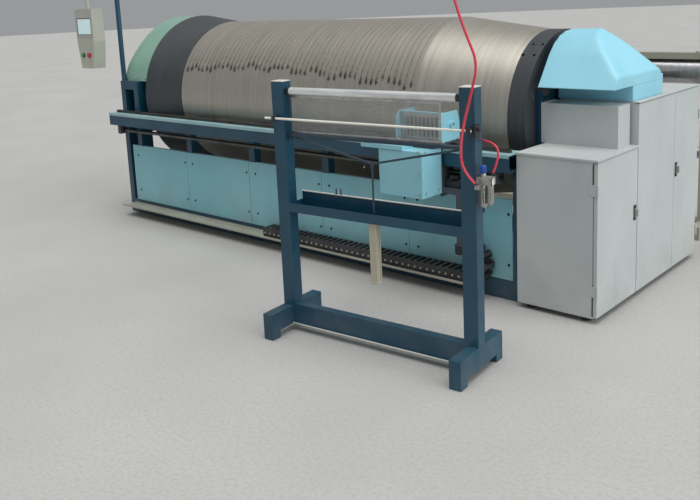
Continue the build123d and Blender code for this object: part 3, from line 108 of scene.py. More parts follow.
def grain(tree, place, scale, detail, stretch=None):
    """Irregular variation over the surface. A stretch draws it out along the axes with small numbers."""
    if stretch:
        place = step(tree, "ShaderNodeMapping", [("Vector", place), ("Scale", stretch)]).outputs[0]
    feeds = [("Vector", place), ("Scale", scale), ("Detail", detail)]
    return step(tree, "ShaderNodeTexNoise", feeds).outputs[0]


def reach(tree, value, low, high, start=0.0, end=1.0):
    """Spreads the part of a variation between two levels over a new range."""
    feeds = [(0, value), (1, low), (2, high), (3, start), (4, end)]
    return step(tree, "ShaderNodeMapRange", feeds, clamp=True).outputs[0]


def arithmetic(tree, first, second, operation):
    """One operation of plain arithmetic on two values of a finish."""
    return step(tree, "ShaderNodeMath", [(0, first), (1, second)], operation=operation).outputs[0]


def times(tree, first, second):
    return arithmetic(tree, first, second, "MULTIPLY")


def tinge(tree, amount, colour, over):
    """A mix of two colours that runs from the first to the second as the amount rises."""
    return step(tree, "ShaderNodeMix", [(0, amount), (6, colour), (7, over)], data_type="RGBA").outputs[2]


def new_finish(name, **sockets):
    """A plain finish, with its nodes and the place on the piece that its variations follow."""
    finish = bpy.data.materials.new(name)
    finish.use_nodes = True
    shader = finish.node_tree.nodes["Principled BSDF"]
    for socket, value in sockets.items():
        shader.inputs[socket.replace("_", " ")].default_value = value
    tree = finish.node_tree
    return finish, tree, shader, step(tree, "ShaderNodeTexCoord").outputs["Object"]


slab_radius, slab_drop = 60, 0.001
floor_finish, tree, shader, place = new_finish("floor_finish", Roughness=0.55)
cloud = reach(tree, grain(tree, place, 0.9, 6), 0.35, 0.65)
fleck = reach(tree, grain(tree, place, 55, 4), 0.45, 0.62, 0, 0.5)
pale = tinge(tree, cloud, shade(178, 177, 175), shade(186, 185, 183))
tree.links.new(tinge(tree, fleck, pale, shade(168, 166, 163)), shader.inputs["Base Color"])
form = bmesh.new()
bmesh.ops.create_circle(form, cap_ends=True, segments=64, radius=slab_radius)
floor = bpy.data.objects.new("floor", bpy.data.meshes.new("floor"))
form.to_mesh(floor.data)
floor.location.z = -slab_drop
floor.data.materials.append(floor_finish)
bpy.context.scene.collection.objects.link(floor)


# Frames: welded steel columns and beams in dark petrol blue enamel, sprayed after welding.
# The paint is thick, a little orange-peeled, dusty near the floor and rubbed along its edges.
def toned(colour, gain, lift=0.0):
    """The same colour made darker or lighter."""
    return (*[min(1.0, gain * channel + lift) for channel in colour[:3]], 1.0)


def relief(tree, shader, height, strength, distance, normal=None):
    """A fine unevenness of the surface, laid over edges that a normal already rounds."""
    feeds = [("Strength", strength), ("Distance", distance), ("Height", height)]
    if normal is not None:
        feeds.append(("Normal", normal))
    tree.links.new(step(tree, "ShaderNodeBump", feeds).outputs[0], shader.inputs["Normal"])


def rounded_edges(tree, radius):
    return step(tree, "ShaderNodeBevel", [("Radius", radius)], samples=4).outputs[0]


def enamel(name, colour, worn, roughness, peel=0.12, dust=0.45, radius=0.002):
    """Sprayed paint in two near tones, with smudges, scuffs, dust and rubbed edges over it."""
    dust_tone, settled_tone, edge_rub = shade(150, 143, 132), shade(168, 163, 154), 0.3
    finish, tree, shader, place = new_finish(name)
    cloud = reach(tree, grain(tree, place, 2.6, 5), 0.36, 0.66)
    tone = tinge(tree, cloud, colour, worn)
    smudge = reach(tree, grain(tree, place, 1.0, 5, (5, 5, 1.6)), 0.5, 0.72, 0, 0.16)
    tone = tinge(tree, smudge, tone, toned(colour, 0.66))
    scuff = reach(tree, grain(tree, place, 60, 6, (1, 1, 0.25)), 0.64, 0.72, 0, 0.14)
    tone = tinge(tree, scuff, tone, toned(colour, 1.3, 0.05))
    height = step(tree, "ShaderNodeSeparateXYZ", [(0, place)]).outputs[2]
    powder = reach(tree, height, 0.02, 0.4, dust, 0)
    powder = times(tree, powder, reach(tree, grain(tree, place, 7, 7), 0.35, 0.7))
    tone = tinge(tree, powder, tone, dust_tone)
    flat = step(tree, "ShaderNodeNewGeometry").outputs["Normal"]
    facing = step(tree, "ShaderNodeSeparateXYZ", [(0, flat)]).outputs[2]
    settled = reach(tree, facing, 0.85, 1.0, 0, dust * 0.6)
    settled = times(tree, settled, reach(tree, grain(tree, place, 5, 6), 0.3, 0.7))
    tone = tinge(tree, settled, tone, settled_tone)
    rounded = rounded_edges(tree, radius)
    feeds = [(0, rounded), (1, flat)]
    flatness = step(tree, "ShaderNodeVectorMath", feeds, operation="DOT_PRODUCT").outputs["Value"]
    rub = reach(tree, flatness, 0.9, 0.995, edge_rub, 0)
    rub = times(tree, rub, reach(tree, grain(tree, place, 28, 5), 0.4, 0.62))
    tree.links.new(tinge(tree, rub, tone, toned(worn, 1.7, 0.06)), shader.inputs["Base Color"])
    gloss = reach(tree, grain(tree, place, 11, 5), 0.3, 0.7, roughness - 0.07, roughness + 0.14)
    tree.links.new(gloss, shader.inputs["Roughness"])
    relief(tree, shader, grain(tree, place, 240, 2), peel, 0.0006, rounded)
    return finish


def paint(finish, *nodes):
    """Gives the solids of the model their finish."""
    for name in nodes:
        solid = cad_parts[name]
        if not solid.material_slots:
            solid.data.materials.append(finish)
        for holder in solid.material_slots:
            holder.material = finish


petrol_blue = enamel("petrol_blue", shade(15, 62, 84), shade(23, 73, 94), 0.34, dust=0.12)
paint(petrol_blue, "side_frames", "machine_frame")


# Frame bolts: zinc-plated hexagon heads on wide washers. Four hold each bearing housing to its
# end plate, and the others go through the left end's columns near the floor and at seat height.
def bright_steel(name, colour, dull, roughness, stretch, metallic=1.0):
    """Turned, drawn or ground metal: fine lines in one direction, with duller stains."""
    finish, tree, shader, place = new_finish(name, Metallic=metallic)
    lines = grain(tree, place, 1.0, 3, stretch)
    stain = grain(tree, place, 6.5, 7)
    tone = tinge(tree, reach(tree, lines, 0.3, 0.7), colour, dull)
    tone = tinge(tree, reach(tree, stain, 0.52, 0.75, 0, 0.5), tone, toned(dull, 0.5))
    tree.links.new(tone, shader.inputs["Base Color"])
    tree.links.new(reach(tree, stain, 0.3, 0.75, roughness, roughness + 0.22), shader.inputs["Roughness"])
    relief(tree, shader, lines, 0.1, 0.0003, rounded_edges(tree, 0.0015))
    return finish


def ring(form, centre, side, other, radius, sides, shift):
    turns = [2 * pi * (index + shift) / sides for index in range(sides)]
    return [form.verts.new(centre + (side * cos(turn) + other * sin(turn)) * radius) for turn in turns]


def wrap(form, rings):
    """Skins a row of rings and closes both ends."""
    sides = len(rings[0])
    for lower, upper in zip(rings, rings[1:]):
        for index in range(sides):
            following = (index + 1) % sides
            form.faces.new((lower[index], lower[following], upper[following], upper[index]))
    form.faces.new(rings[0][::-1])
    form.faces.new(rings[-1])


def turned(form, place, toward, profile, sides):
    """A turned part: (distance along its axis, radius) pairs, closed at both ends."""
    toward = Vector(toward).normalized()
    side = toward.orthogonal().normalized()
    other = toward.cross(side)
    rings = []
    for along, radius in profile:
        rings.append(ring(form, Vector(place) + toward * along, side, other, radius, sides, 0.5))
    wrap(form, rings)


def hex_bolt(form, place, toward, flats):
    """A hexagon head, as wide across its flats as given, on a wide plain washer."""
    toward = Vector(toward).normalized()
    thick, washer = 0.09 * flats, 1.054 * flats
    turned(form, place, toward, [(0, washer), (thick, washer)], 20)
    corner, side_height, full_height = 0.577 * flats, 0.5 * flats, 0.6 * flats
    head = [(0, corner), (side_height, corner), (full_height, 0.5 * flats)]
    turned(form, Vector(place) + toward * thick, toward, head, 6)


def fit_piece(name, form, finish, body, smooth=35):
    """Turns a form into a piece of the machine that moves with one of its bodies."""
    mesh = bpy.data.meshes.new(name)
    bmesh.ops.recalc_face_normals(form, faces=form.faces)
    form.to_mesh(mesh)
    form.free()
    mesh.materials.append(finish)
    mesh.shade_smooth()
    mesh.set_sharp_from_angle(angle=radians(smooth))
    made = bpy.data.objects.new(name, mesh)
    bpy.context.scene.collection.objects.link(made)
    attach(made, body)
    return made


zinc_plate = bright_steel("zinc_plate", shade(196, 198, 196), shade(160, 160, 152), 0.34, (120, 120, 120))
left_plate_face, right_plate_face, left_end_face = -1.8805, 1.7765, -2.0685
housing_bolt_ys, housing_bolt_heights, housing_flats = (-0.08, 0.08), (0.92, 1.08), 0.019
column_middle, column_bolt_heights, column_flats = 0.587, (0.06, 0.14, 0.64, 0.72), 0.014
form = bmesh.new()
for face, outward in ((left_plate_face, -1), (right_plate_face, 1)):
    for y in housing_bolt_ys:
        for z in housing_bolt_heights:
            hex_bolt(form, (face, y, z), (outward, 0, 0), housing_flats)
for y in (-column_middle, column_middle):
    for z in column_bolt_heights:
        hex_bolt(form, (left_end_face, y, z), (-1, 0, 0), column_flats)
fit_piece("frame_bolts", form, zinc_plate, "frame")


# Frame welds: hand-laid beads under the frame's paint. They run where the tail frame's top beams
# and the side frames' seat beams meet the columns.
def tube(form, path, radii, sides):
    """A round strand or bead along a path, with its own radius at each point."""
    rings = []
    side = None
    for index, spot in enumerate(path):
        before, after = path[max(index - 1, 0)], path[min(index + 1, len(path) - 1)]
        run = (after - before).normalized()
        if side is None:
            side = run.orthogonal().normalized()
        side = (side - run * side.dot(run)).normalized()
        rings.append(ring(form, spot, side, run.cross(side), radii[index], sides, 0.0))
    wrap(form, rings)


def weld(form, start, end, radius, seed):
    """A weld bead: a low ripple along a joint. The seed sets where its waves begin."""
    start, end = Vector(start), Vector(end)
    ripple = 0.006
    count = max(6, int((end - start).length / ripple))
    path, radii = [], []
    for k in range(count + 1):
        path.append(start.lerp(end, k / count))
        radii.append(radius * (0.82 + 0.18 * sin(2.4 * k + seed) + 0.08 * sin(0.7 * k + 2 * seed)))
    tube(form, path, radii, 6)


top_beam_z, column_face, top_bead_start, top_bead_end = 1.0595, 0.6425, 0.004, 0.054
seat_beam_z, seat_joint, half_bead, bead_radius = 0.7, 0.588, 0.05, 0.004
top_beam_xs, seat_beam_xs = (-2.068, -1.888), (left_end_face, -1.8295, 1.7825)
form = bmesh.new()
for y in (-column_face, column_face):
    for x in top_beam_xs:
        weld(form, (x + top_bead_start, y, top_beam_z), (x + top_bead_end, y, top_beam_z), bead_radius, x)
for x in seat_beam_xs:
    for y in (-seat_joint, seat_joint):
        weld(form, (x, y - half_bead, seat_beam_z), (x, y + half_bead, seat_beam_z), bead_radius, y)
fit_piece("frame_welds", form, petrol_blue, "frame")

# Drum: a plate cylinder and its fixed cone in near-black enamel, polished by years of yarn,
# with fine rings and scratches left by the winding.
drum_finish, tree, shader, place = new_finish("drum_black")
rings = grain(tree, place, 1.0, 4, (190, 2.5, 2.5))
cloud = grain(tree, place, 3.1, 6)
tone = tinge(tree, reach(tree, cloud, 0.3, 0.7), shade(46, 52, 57), shade(60, 65, 69))
tone = tinge(tree, reach(tree, rings, 0.4, 0.75, 0, 0.4), tone, shade(78, 80, 82))
scratch = reach(tree, grain(tree, place, 1.0, 8, (300, 9, 9)), 0.66, 0.72, 0, 0.5)
tree.links.new(tinge(tree, scratch, tone, shade(128, 126, 122)), shader.inputs["Base Color"])
tree.links.new(reach(tree, cloud, 0.3, 0.7, 0.42, 0.56), shader.inputs["Roughness"])
relief(tree, shader, rings, 0.18, 0.0005)
paint(drum_finish, "drum_shell", "drum_cone")

# Shaft, bearings and brake: the drum turns on a bright shaft with welded spiders. The brake disc is
# turned steel, and the housings, caliper and pulleys are dark castings with a coarse skin.
turned_steel = bright_steel("turned_steel", shade(212, 213, 214), shade(180, 182, 184), 0.24, (320, 4, 4))
paint(turned_steel, "drum_shaft", "brake_disc")
cast_dark = enamel("cast_dark", shade(62, 66, 70), shade(74, 78, 82), 0.48, peel=0.5, dust=0.3)
paint(cast_dark, "drum_pulley", "motor_pulley", "bearing_housings", "brake_caliper")


# Drive: an enamelled motor in the tall cabinet turns the drum's pulley by a rubber belt, whose skin
# is dull and finely rough.
def moulding(name, colour, worn, roughness, scale=180, depth=0.2):
    """Moulded plastic or rubber: one colour with paler wear and a fine skin."""
    finish, tree, shader, place = new_finish(name)
    cloud = grain(tree, place, 9, 6)
    skin = grain(tree, place, scale, 3)
    tree.links.new(tinge(tree, reach(tree, cloud, 0.35, 0.68), colour, worn), shader.inputs["Base Color"])
    gloss = reach(tree, cloud, 0.3, 0.7, roughness - 0.06, roughness + 0.12)
    tree.links.new(gloss, shader.inputs["Roughness"])
    relief(tree, shader, skin, depth, 0.0004, rounded_edges(tree, 0.001))
    return finish


motor_grey = enamel("motor_grey", shade(120, 136, 144), shade(134, 148, 155), 0.42)
paint(motor_grey, "drive_motor")
belt_rubber = moulding("belt_rubber", shade(34, 34, 34), shade(58, 56, 54), 0.7, 420, 0.5)
paint(belt_rubber, "drive_belt")

# Warp: thousands of grey-brown yarns side by side round the drum. The joints between the sections show as
# darker rings of painted shade, deepest just above the tails, lighter towards the top and faint beyond the
# warp's shoulder.
shaft_height, warp_radius, warp_start = 1.0, 0.583, -1.3123
section_count, section_pitch = 49, 0.0465
first_tail, tail_width = 0.040, 0.007
joint_shade_tone, joint_width = shade(92, 84, 74), 0.16
joints_start_z, joints_full_z, joints_fade_z, joints_faint_z = 1.27, 1.31, 1.34, 1.56
shoulder_fade_x, shoulder_x = 0.98, 1.0
yarn_finish, tree, shader, place = new_finish("warp_yarn", Metallic=0.8)
spot_x, _, spot_z = step(tree, "ShaderNodeSeparateXYZ", [(0, place)]).outputs
strands = grain(tree, place, 1.0, 3, (620, 3, 3))
bands = grain(tree, place, 1.0, 4, (38, 0.8, 0.8))
tone = tinge(tree, reach(tree, bands, 0.3, 0.7), shade(166, 161, 151), shade(182, 177, 167))
tone = tinge(tree, reach(tree, strands, 0.35, 0.75, 0, 0.45), tone, shade(198, 193, 184))
shadowed = reach(tree, grain(tree, place, 1.0, 2, (480, 5, 5)), 0.58, 0.75, 0, 0.5)
tone = tinge(tree, shadowed, tone, shade(112, 104, 92))
# Painted shade in the joints between sections: darkest just above the tails, fading towards the top of the
# drum.
along = arithmetic(tree, spot_x, -warp_start - first_tail, "ADD")
along = arithmetic(tree, along, section_pitch, "DIVIDE")
turn = step(tree, "ShaderNodeMath", [(0, along)], operation="FRACT").outputs[0]
joint_shade = reach(tree, turn, 0.0, joint_width, 1, 0)
shade_above_tails = reach(tree, spot_z, joints_start_z, joints_full_z, 0.12, 0.8)
shade_below_top = reach(tree, spot_z, joints_fade_z, joints_faint_z, 1, 0.3)
before_shoulder = reach(tree, spot_x, shoulder_fade_x, shoulder_x, 1, 0.1)
joint_shade = times(tree, joint_shade, times(tree, times(tree, shade_above_tails, shade_below_top), before_shoulder))
tree.links.new(tinge(tree, joint_shade, tone, joint_shade_tone), shader.inputs["Base Color"])
tree.links.new(reach(tree, strands, 0.3, 0.7, 0.36, 0.5), shader.inputs["Roughness"])
shader.inputs["Specular IOR Level"].default_value = 0.75
relief(tree, shader, arithmetic(tree, strands, times(tree, joint_shade, 1.4), "SUBTRACT"), 0.45, 0.0012)
paint(yarn_finish, "warp_pack")


# Section tails: each section's end is gathered, knotted and tucked. Eight thick strands run close
# together in a thin neck and swell into a tuft. A fine lead runs from the neck back over the drum.
def on_drum(x, angle, height):
    """A point over the warp: angle above the front horizontal, height over the yarn."""
    radius = warp_radius + height
    return Vector((x, -radius * cos(radians(angle)), shaft_height + radius * sin(radians(angle))))


strand_count, stage_count, strand_radius, tuft_strand_growth = 8, 10, 0.0011, 0.0009
neck_radius, tuft_growth, tuft_start, tuft_length, tip_start = 0.0012, 0.0034, 0.45, 0.35, 0.9
tail_clearance, least_clearance, strand_twist = 0.0032, 0.0006, 2.2
lead_points, lead_step, lead_radius, lead_taper = 18, 3.4, 0.0013, 0.00005
tail_finish, tree, shader, place = new_finish("tail_yarn", Roughness=0.85, Sheen_Weight=0.1)
fuzz = grain(tree, place, 900, 4)
tone = tinge(tree, reach(tree, fuzz, 0.35, 0.65), shade(52, 46, 42), shade(84, 76, 67))
tree.links.new(tone, shader.inputs["Base Color"])
relief(tree, shader, fuzz, 0.6, 0.001)
lead_finish, tree, shader, place = new_finish("lead_yarn", Roughness=0.7, Sheen_Weight=0.2)
fuzz = grain(tree, place, 40, 4)
tone = tinge(tree, reach(tree, fuzz, 0.4, 0.6), shade(96, 89, 79), shade(128, 121, 110))
tree.links.new(tone, shader.inputs["Base Color"])
tails = bmesh.new()
leads = bmesh.new()
for section in range(section_count):
    tail_x = warp_start + first_tail + section * section_pitch + tail_width / 2
    neck_angle = 31 + 3.5 * cos(0.1 * (section - 17)) + 1.6 * sin(0.9 * section)
    drop = 8.0 + 1.0 * sin(section * 2.3)
    for strand in range(strand_count):
        path, radii = [], []
        for stage in range(stage_count):
            share = stage / (stage_count - 1)
            tuft = max(0.0, min(1.0, (share - tuft_start) / tuft_length))
            swell = tuft * tuft * (3 - 2 * tuft) * (1 + 0.2 * sin(3.1 * strand + section))
            wide = neck_radius + tuft_growth * swell
            wide = wide * (1 - 0.35 * max(0.0, share - tip_start) / 0.1)
            around = 2 * pi * strand / strand_count + strand_twist * share
            sway = 0.004 * sin(section * 1.3) * share
            lift = tail_clearance + wide * 0.8 * sin(around) + 0.0014 * tuft
            fall = drop + 0.4 * sin(5.3 * strand + section)
            angle = neck_angle - 0.2 - fall * share
            path.append(on_drum(tail_x + sway + wide * cos(around), angle, max(lift, least_clearance)))
            radii.append(strand_radius + tuft_strand_growth * tuft)
        tube(tails, path, radii, 6)
    path = []
    for k in range(lead_points):
        lead_x = tail_x + 0.001 * sin(0.4 * k + section)
        path.append(on_drum(lead_x, neck_angle - 0.5 + k * lead_step, 0.0009 - lead_taper * k))
    tube(leads, path, [lead_radius - lead_taper * k for k in range(lead_points)], 5)
fit_piece("section_tails", tails, tail_finish, "drum")
fit_piece("section_leads", leads, lead_finish, "drum")

# Front rail: a folded cover in pale blue-green enamel lies on the hollow rail. The guide bar and the
# traverse screw are drawn steel, painted dark for the shade they lie in.
rail_finish = enamel("rail_pale", shade(140, 178, 184), shade(154, 188, 192), 0.34, dust=0.3)
paint(rail_finish, "rail_cover")
# Painted shade: the steel of the guide bar and the screw is darkened as if in shade.
shade_dark_steel = bright_steel("shade_dark_steel", shade(112, 112, 108), shade(70, 68, 62), 0.3, (3, 260, 260))
paint(shade_dark_steel, "guide_rail", "traverse_screw")

# Front panels: five folded sheets in light blue enamel. Each is held to the frame by four blackened
# screws with flanged heads.
panel_finish = enamel("panel_teal", shade(128, 190, 202), shade(138, 196, 206), 0.38, dust=0.5)
paint(panel_finish, "front_panels")
black_tones = shade(58, 60, 60), shade(42, 43, 44)
blackened = bright_steel("blackened_steel", *black_tones, 0.45, (120, 120, 120), 0.7)
panel_left, panel_pitch, panel_count, panel_face = -1.968, 0.738, 5, -0.645
screw_insets, screw_heights = (0.070, 0.712), (0.208, 0.505)
flanged_head = [(0, 0.0085), (0.001, 0.0085), (0.0012, 0.0062), (0.003, 0.006), (0.0042, 0.004)]
form = bmesh.new()
for k in range(panel_count):
    for inset in screw_insets:
        for z in screw_heights:
            turned(form, (panel_left + panel_pitch * k + inset, panel_face, z), (0, -1, 0), flanged_head, 20)
panel_heads = fit_piece("panel_heads", form, blackened, "frame")
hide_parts("panel_screws")


# Chain tray: folded steel sheet in cream enamel, with a low lip along the front. It lies on seven
# short brackets that stand out from the front base beam.
def bar(form, low, high, place=None, chamfer=0.0):
    """A sheet or bar between two corners, with its edges broken by a small chamfer."""
    low, high = Vector(low), Vector(high)
    stretched = Matrix.Translation((low + high) / 2) @ Matrix.Diagonal((*(high - low), 1))
    made = bmesh.ops.create_cube(form, size=1.0, matrix=(place or Matrix.Identity(4)) @ stretched)
    if chamfer:
        edges = list({edge for corner in made["verts"] for edge in corner.link_edges})
        bmesh.ops.bevel(form, geom=edges, offset=chamfer, segments=2, profile=0.7, affect="EDGES")


cream_enamel = enamel("cream_enamel", shade(178, 178, 162), shade(160, 160, 146), 0.4, dust=0.6)
paint(cream_enamel, "chain_tray")
tray_left, tray_right, tray_front, tray_back = -1.990, 1.536, -0.780, -0.642
tray_floor, tray_sheet, lip_sheet, lip_lap, lip_top = 0.085, 0.004, 0.003, 0.001, 0.101
bracket_count, first_bracket, bracket_pitch, bracket_width = 7, -1.900, 0.5, 0.04
bracket_front, bracket_foot, bracket_lap = -0.690, 0.055, 0.0005
form = bmesh.new()
sheet_front = tray_front + lip_sheet - lip_lap
bar(form, (tray_left, sheet_front, tray_floor), (tray_right, tray_back, tray_floor + tray_sheet))
bar(form, (tray_left, tray_front, tray_floor), (tray_right, tray_front + lip_sheet, lip_top), chamfer=0.0008)
for k in range(bracket_count):
    x = first_bracket + bracket_pitch * k
    bracket_end = (x + bracket_width, tray_back, tray_floor + bracket_lap)
    bar(form, (x, bracket_front, bracket_foot), bracket_end, chamfer=0.001)
folded_tray = fit_piece("folded_tray", form, cream_enamel, "frame")
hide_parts("chain_tray")

# Drag chain: moulded black nylon links, joined by a pale pin on each joint. It lies in the tray and
# bends up at the drive end.
chain_nylon = moulding("chain_nylon", shade(38, 39, 41), shade(66, 66, 66), 0.45)
paint(chain_nylon, "drag_chain")
link_pitch, straight_links, link_face, pin_height = 0.046, 38, -0.7572, 0.119
bend_x, bend_z, bend_radius, bend_start, bend_step, bend_links = 1.497, 0.204, 0.080, -73.5, 33, 5
pin_end = [(0, 0.0068), (0.002, 0.0068), (0.0032, 0.0055)]
pins = [(bend_x - (k + 0.5) * link_pitch, link_face, pin_height) for k in range(straight_links)]
for k in range(bend_links):
    turn = radians(bend_start + bend_step * k)
    pins.append((bend_x + bend_radius * cos(turn), link_face, bend_z + bend_radius * sin(turn)))
form = bmesh.new()
for pin in pins:
    turned(form, pin, (0, -1, 0), pin_end, 12)
fit_piece("chain_studs", form, cream_enamel, "frame")

# Cabinets: folded sheet with a light grey powder coat, a fine dry texture with little gloss. They
# stand on black moulded feet. The doors hang on barrel hinges and close with zinc latches.
cabinet_grey = enamel("cabinet_grey", shade(185, 192, 192), shade(192, 198, 197), 0.5, peel=0.3, dust=0.3)
paint(cabinet_grey, "low_cabinet", "tall_cabinet", "cabinet_tops", "low_door", "tall_front_door")
paint(cabinet_grey, "tall_rear_door", "switch_box", "door_hinges")
gear_plate = enamel("gear_plate", shade(178, 180, 180), shade(150, 152, 152), 0.45, dust=0.2)
paint(gear_plate, "control_gear")
black_moulding = moulding("black_moulding", shade(30, 31, 33), shade(46, 47, 49), 0.4)
paint(black_moulding, "cabinet_feet")
paint(zinc_plate, "low_door_latch", "tall_door_latch")

# Latch plates: thin blackened steel under each latch, fixed to the door that it closes, so that the
# turning latch doesn't rub the paint.
latch_face, latch_plate = 2.2531, (0.0014, 0.036, 0.086)
low_latch_corner, tall_latch_corner = (latch_face, -0.262, 0.462), (latch_face, 0.324, 0.597)
low_plate = ("low_latch_plate", low_latch_corner, "low_door")
tall_plate = ("tall_latch_plate", tall_latch_corner, "tall_rear_door")
for name, corner, body in (low_plate, tall_plate):
    form = bmesh.new()
    bar(form, corner, Vector(corner) + Vector(latch_plate), chamfer=0.0005)
    fit_piece(name, form, blackened, body)

# Seals: black rubber strips, glued on. One covers the spacer behind the switch box, and two lie over the
# doors. A black strip in the low door's hinge gap, wider at both hinges, is painted shade of the gap.
spacer_low, spacer_high = (2.1835, -0.2335, 0.900), (2.1855, -0.2125, 1.050)
gap_shade_low, gap_shade_high = (2.2305, -0.7066, 0.040), (2.2332, -0.7058, 0.862)
hinge_shade_spans = ((0.045, 0.215), (0.690, 0.855))
hinge_shade_left, hinge_shade_front, hinge_shade_back = 2.2265, -0.7072, -0.7058
seal_back, seal_front, seal_height = 2.2335, 2.2525, 0.001
low_door_top, tall_doors_top = (-0.7085, -0.2135, 0.8655), (-0.2095, 0.6895, 1.1062)
form = bmesh.new()
bar(form, spacer_low, spacer_high, chamfer=0.0005)
fit_piece("spacer_seal", form, belt_rubber, "frame")
# Painted shade: a thin black strip fills the low door's hinge gap and widens at both hinges.
form = bmesh.new()
bar(form, gap_shade_low, gap_shade_high)
for low_z, high_z in hinge_shade_spans:
    bar(form, (hinge_shade_left, hinge_shade_front, low_z), (seal_back, hinge_shade_back, high_z), chamfer=0.0003)
fit_piece("hinge_gap_shade", form, belt_rubber, "frame")
form = bmesh.new()
for start_y, end_y, seal_z in (low_door_top, tall_doors_top):
    bar(form, (seal_back, start_y, seal_z), (seal_front, end_y, seal_z + seal_height))
fit_piece("door_seals", form, belt_rubber, "frame")


# Hood: a moulded shell in light blue gel coat, smooth and a little glossy. Its arch has a short
# ridge and falls to the drive end. Three screws along the back hold its skirt to the cabinet.
def arch_line(steps, middle, half, foot, rise, count):
    """Points on a smooth line through the steps of half an arch, up to its top and down again."""
    spots = [Vector((middle - half * away, foot + rise * lift)) for away, lift in steps]
    before = spots[0] * 2 - spots[1]
    after = Vector((2 * middle - spots[-2].x, spots[-2].y))
    line = [before, *spots, after]
    near = []
    for p0, p1, p2, p3 in zip(line, line[1:], line[2:], line[3:]):
        slope, bow, twist = p2 - p0, 2 * p0 - 5 * p1 + 4 * p2 - p3, 3 * p1 - p0 - 3 * p2 + p3
        for k in range(count):
            t = k / count
            near.append((2 * p1 + slope * t + bow * t * t + twist * t**3) / 2)
    near.append(spots[-1])
    return near + [Vector((2 * middle - spot.x, spot.y)) for spot in reversed(near[:-1])]


def soft_min(one, other, blend):
    """The smaller of two heights, with the crease between them rounded."""
    return 0.5 * (one + other - ((one - other) ** 2 + blend**2) ** 0.5)


def shell_grid(form, rows):
    """Sheets a grid of points, row by row."""
    for near, far in zip(rows, rows[1:]):
        for k in range(len(near) - 1):
            form.faces.new((near[k], near[k + 1], far[k + 1], far[k]))


hood_tones = shade(144, 208, 228), shade(152, 214, 232)
hood_blue = enamel("hood_blue", *hood_tones, 0.34, peel=0.05, dust=0.05, radius=0.008)
hood_left, hood_right, hood_middle, hood_half = 1.772, 2.218, -0.1245, 0.3245
hood_foot, hood_top, crease = 1.201, 1.508, 0.0055
skirt_front, skirt_foot, skirt_top, skirt_inset, merge_gap = -0.211, 1.114, 1.231, 0.0001, 0.0002
hood_screws, hood_screw_y, hood_screw_z = (1.80, 2.0, 2.18), 0.1996, 1.135
hood_screw = [(0, 0.007), (0.002, 0.007), (0.0035, 0.0045)]
hood_steps = ((1.0, 0.0), (0.86, 0.195), (0.70, 0.42), (0.555, 0.615))
hood_steps += ((0.38, 0.80), (0.2, 0.935), (0.07, 0.99), (0.0, 1.0))
slope_run, slope_top, slope_length, slope_fall = 0.222, 1.504, 0.218, 0.2352
near_wall = [(0.0, 1.2), (0.0, 1.3), (0.0, 1.4), (0.002, 1.445), (0.009, 1.478), (0.022, 1.499)]
ridge = [(0.042, 1.511), (0.07, 1.518), (0.11, 1.52), (0.15, 1.52)]
ridge += [(0.19, 1.52), (0.206, 1.517), (0.216, 1.511)]
slope_shares = (0, 0.1, 0.2, 0.3, 0.4, 0.5, 0.6, 0.7, 0.8, 0.9, 0.97, 1.0)
slope = [(slope_run + slope_length * share, slope_top - slope_fall * share) for share in slope_shares]
lip = [(0.4435, 1.264), (0.4455, 1.257), (0.446, 1.250), (0.446, 1.232), (0.446, 1.2)]
caps = near_wall + ridge + slope + lip
form = bmesh.new()
rows = []
for spot in arch_line(hood_steps, hood_middle, hood_half, hood_foot, hood_top - hood_foot, 5):
    heights = [max(hood_foot, soft_min(spot.y, cap, crease)) for _, cap in caps]
    rows.append([form.verts.new((hood_left + run, spot.x, z)) for (run, _), z in zip(caps, heights)])
shell_grid(form, rows)
bmesh.ops.remove_doubles(form, verts=form.verts, dist=merge_gap)
bmesh.ops.dissolve_degenerate(form, edges=form.edges, dist=merge_gap)
open_edges = [edge for edge in form.edges if len(edge.link_faces) == 1]
bmesh.ops.holes_fill(form, edges=open_edges, sides=0)
skirt_back = hood_middle + hood_half - skirt_inset
skirt_end = (hood_right - skirt_inset, skirt_back, skirt_top)
bar(form, (hood_left + 0.001, skirt_front, skirt_foot), skirt_end, chamfer=0.004)
for x in hood_screws:
    turned(form, (x, hood_screw_y, hood_screw_z), (0, 1, 0), hood_screw, 16)
gel_hood = fit_piece("gel_coat_hood", form, hood_blue, "frame", smooth=38)
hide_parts("drive_hood")

# Hood catch: a black moulded grip with a short tongue, fixed under the hood's front edge to hold
# the hood down.
grip_low, grip_high = (1.787, -0.440, 1.172), (1.842, -0.424, 1.2015)
tongue_low, tongue_high = (1.800, -0.4435, 1.158), (1.830, -0.4365, 1.192)
form = bmesh.new()
bar(form, grip_low, grip_high, chamfer=0.002)
bar(form, tongue_low, tongue_high, chamfer=0.0015)
fit_piece("hood_catch", form, black_moulding, "frame")

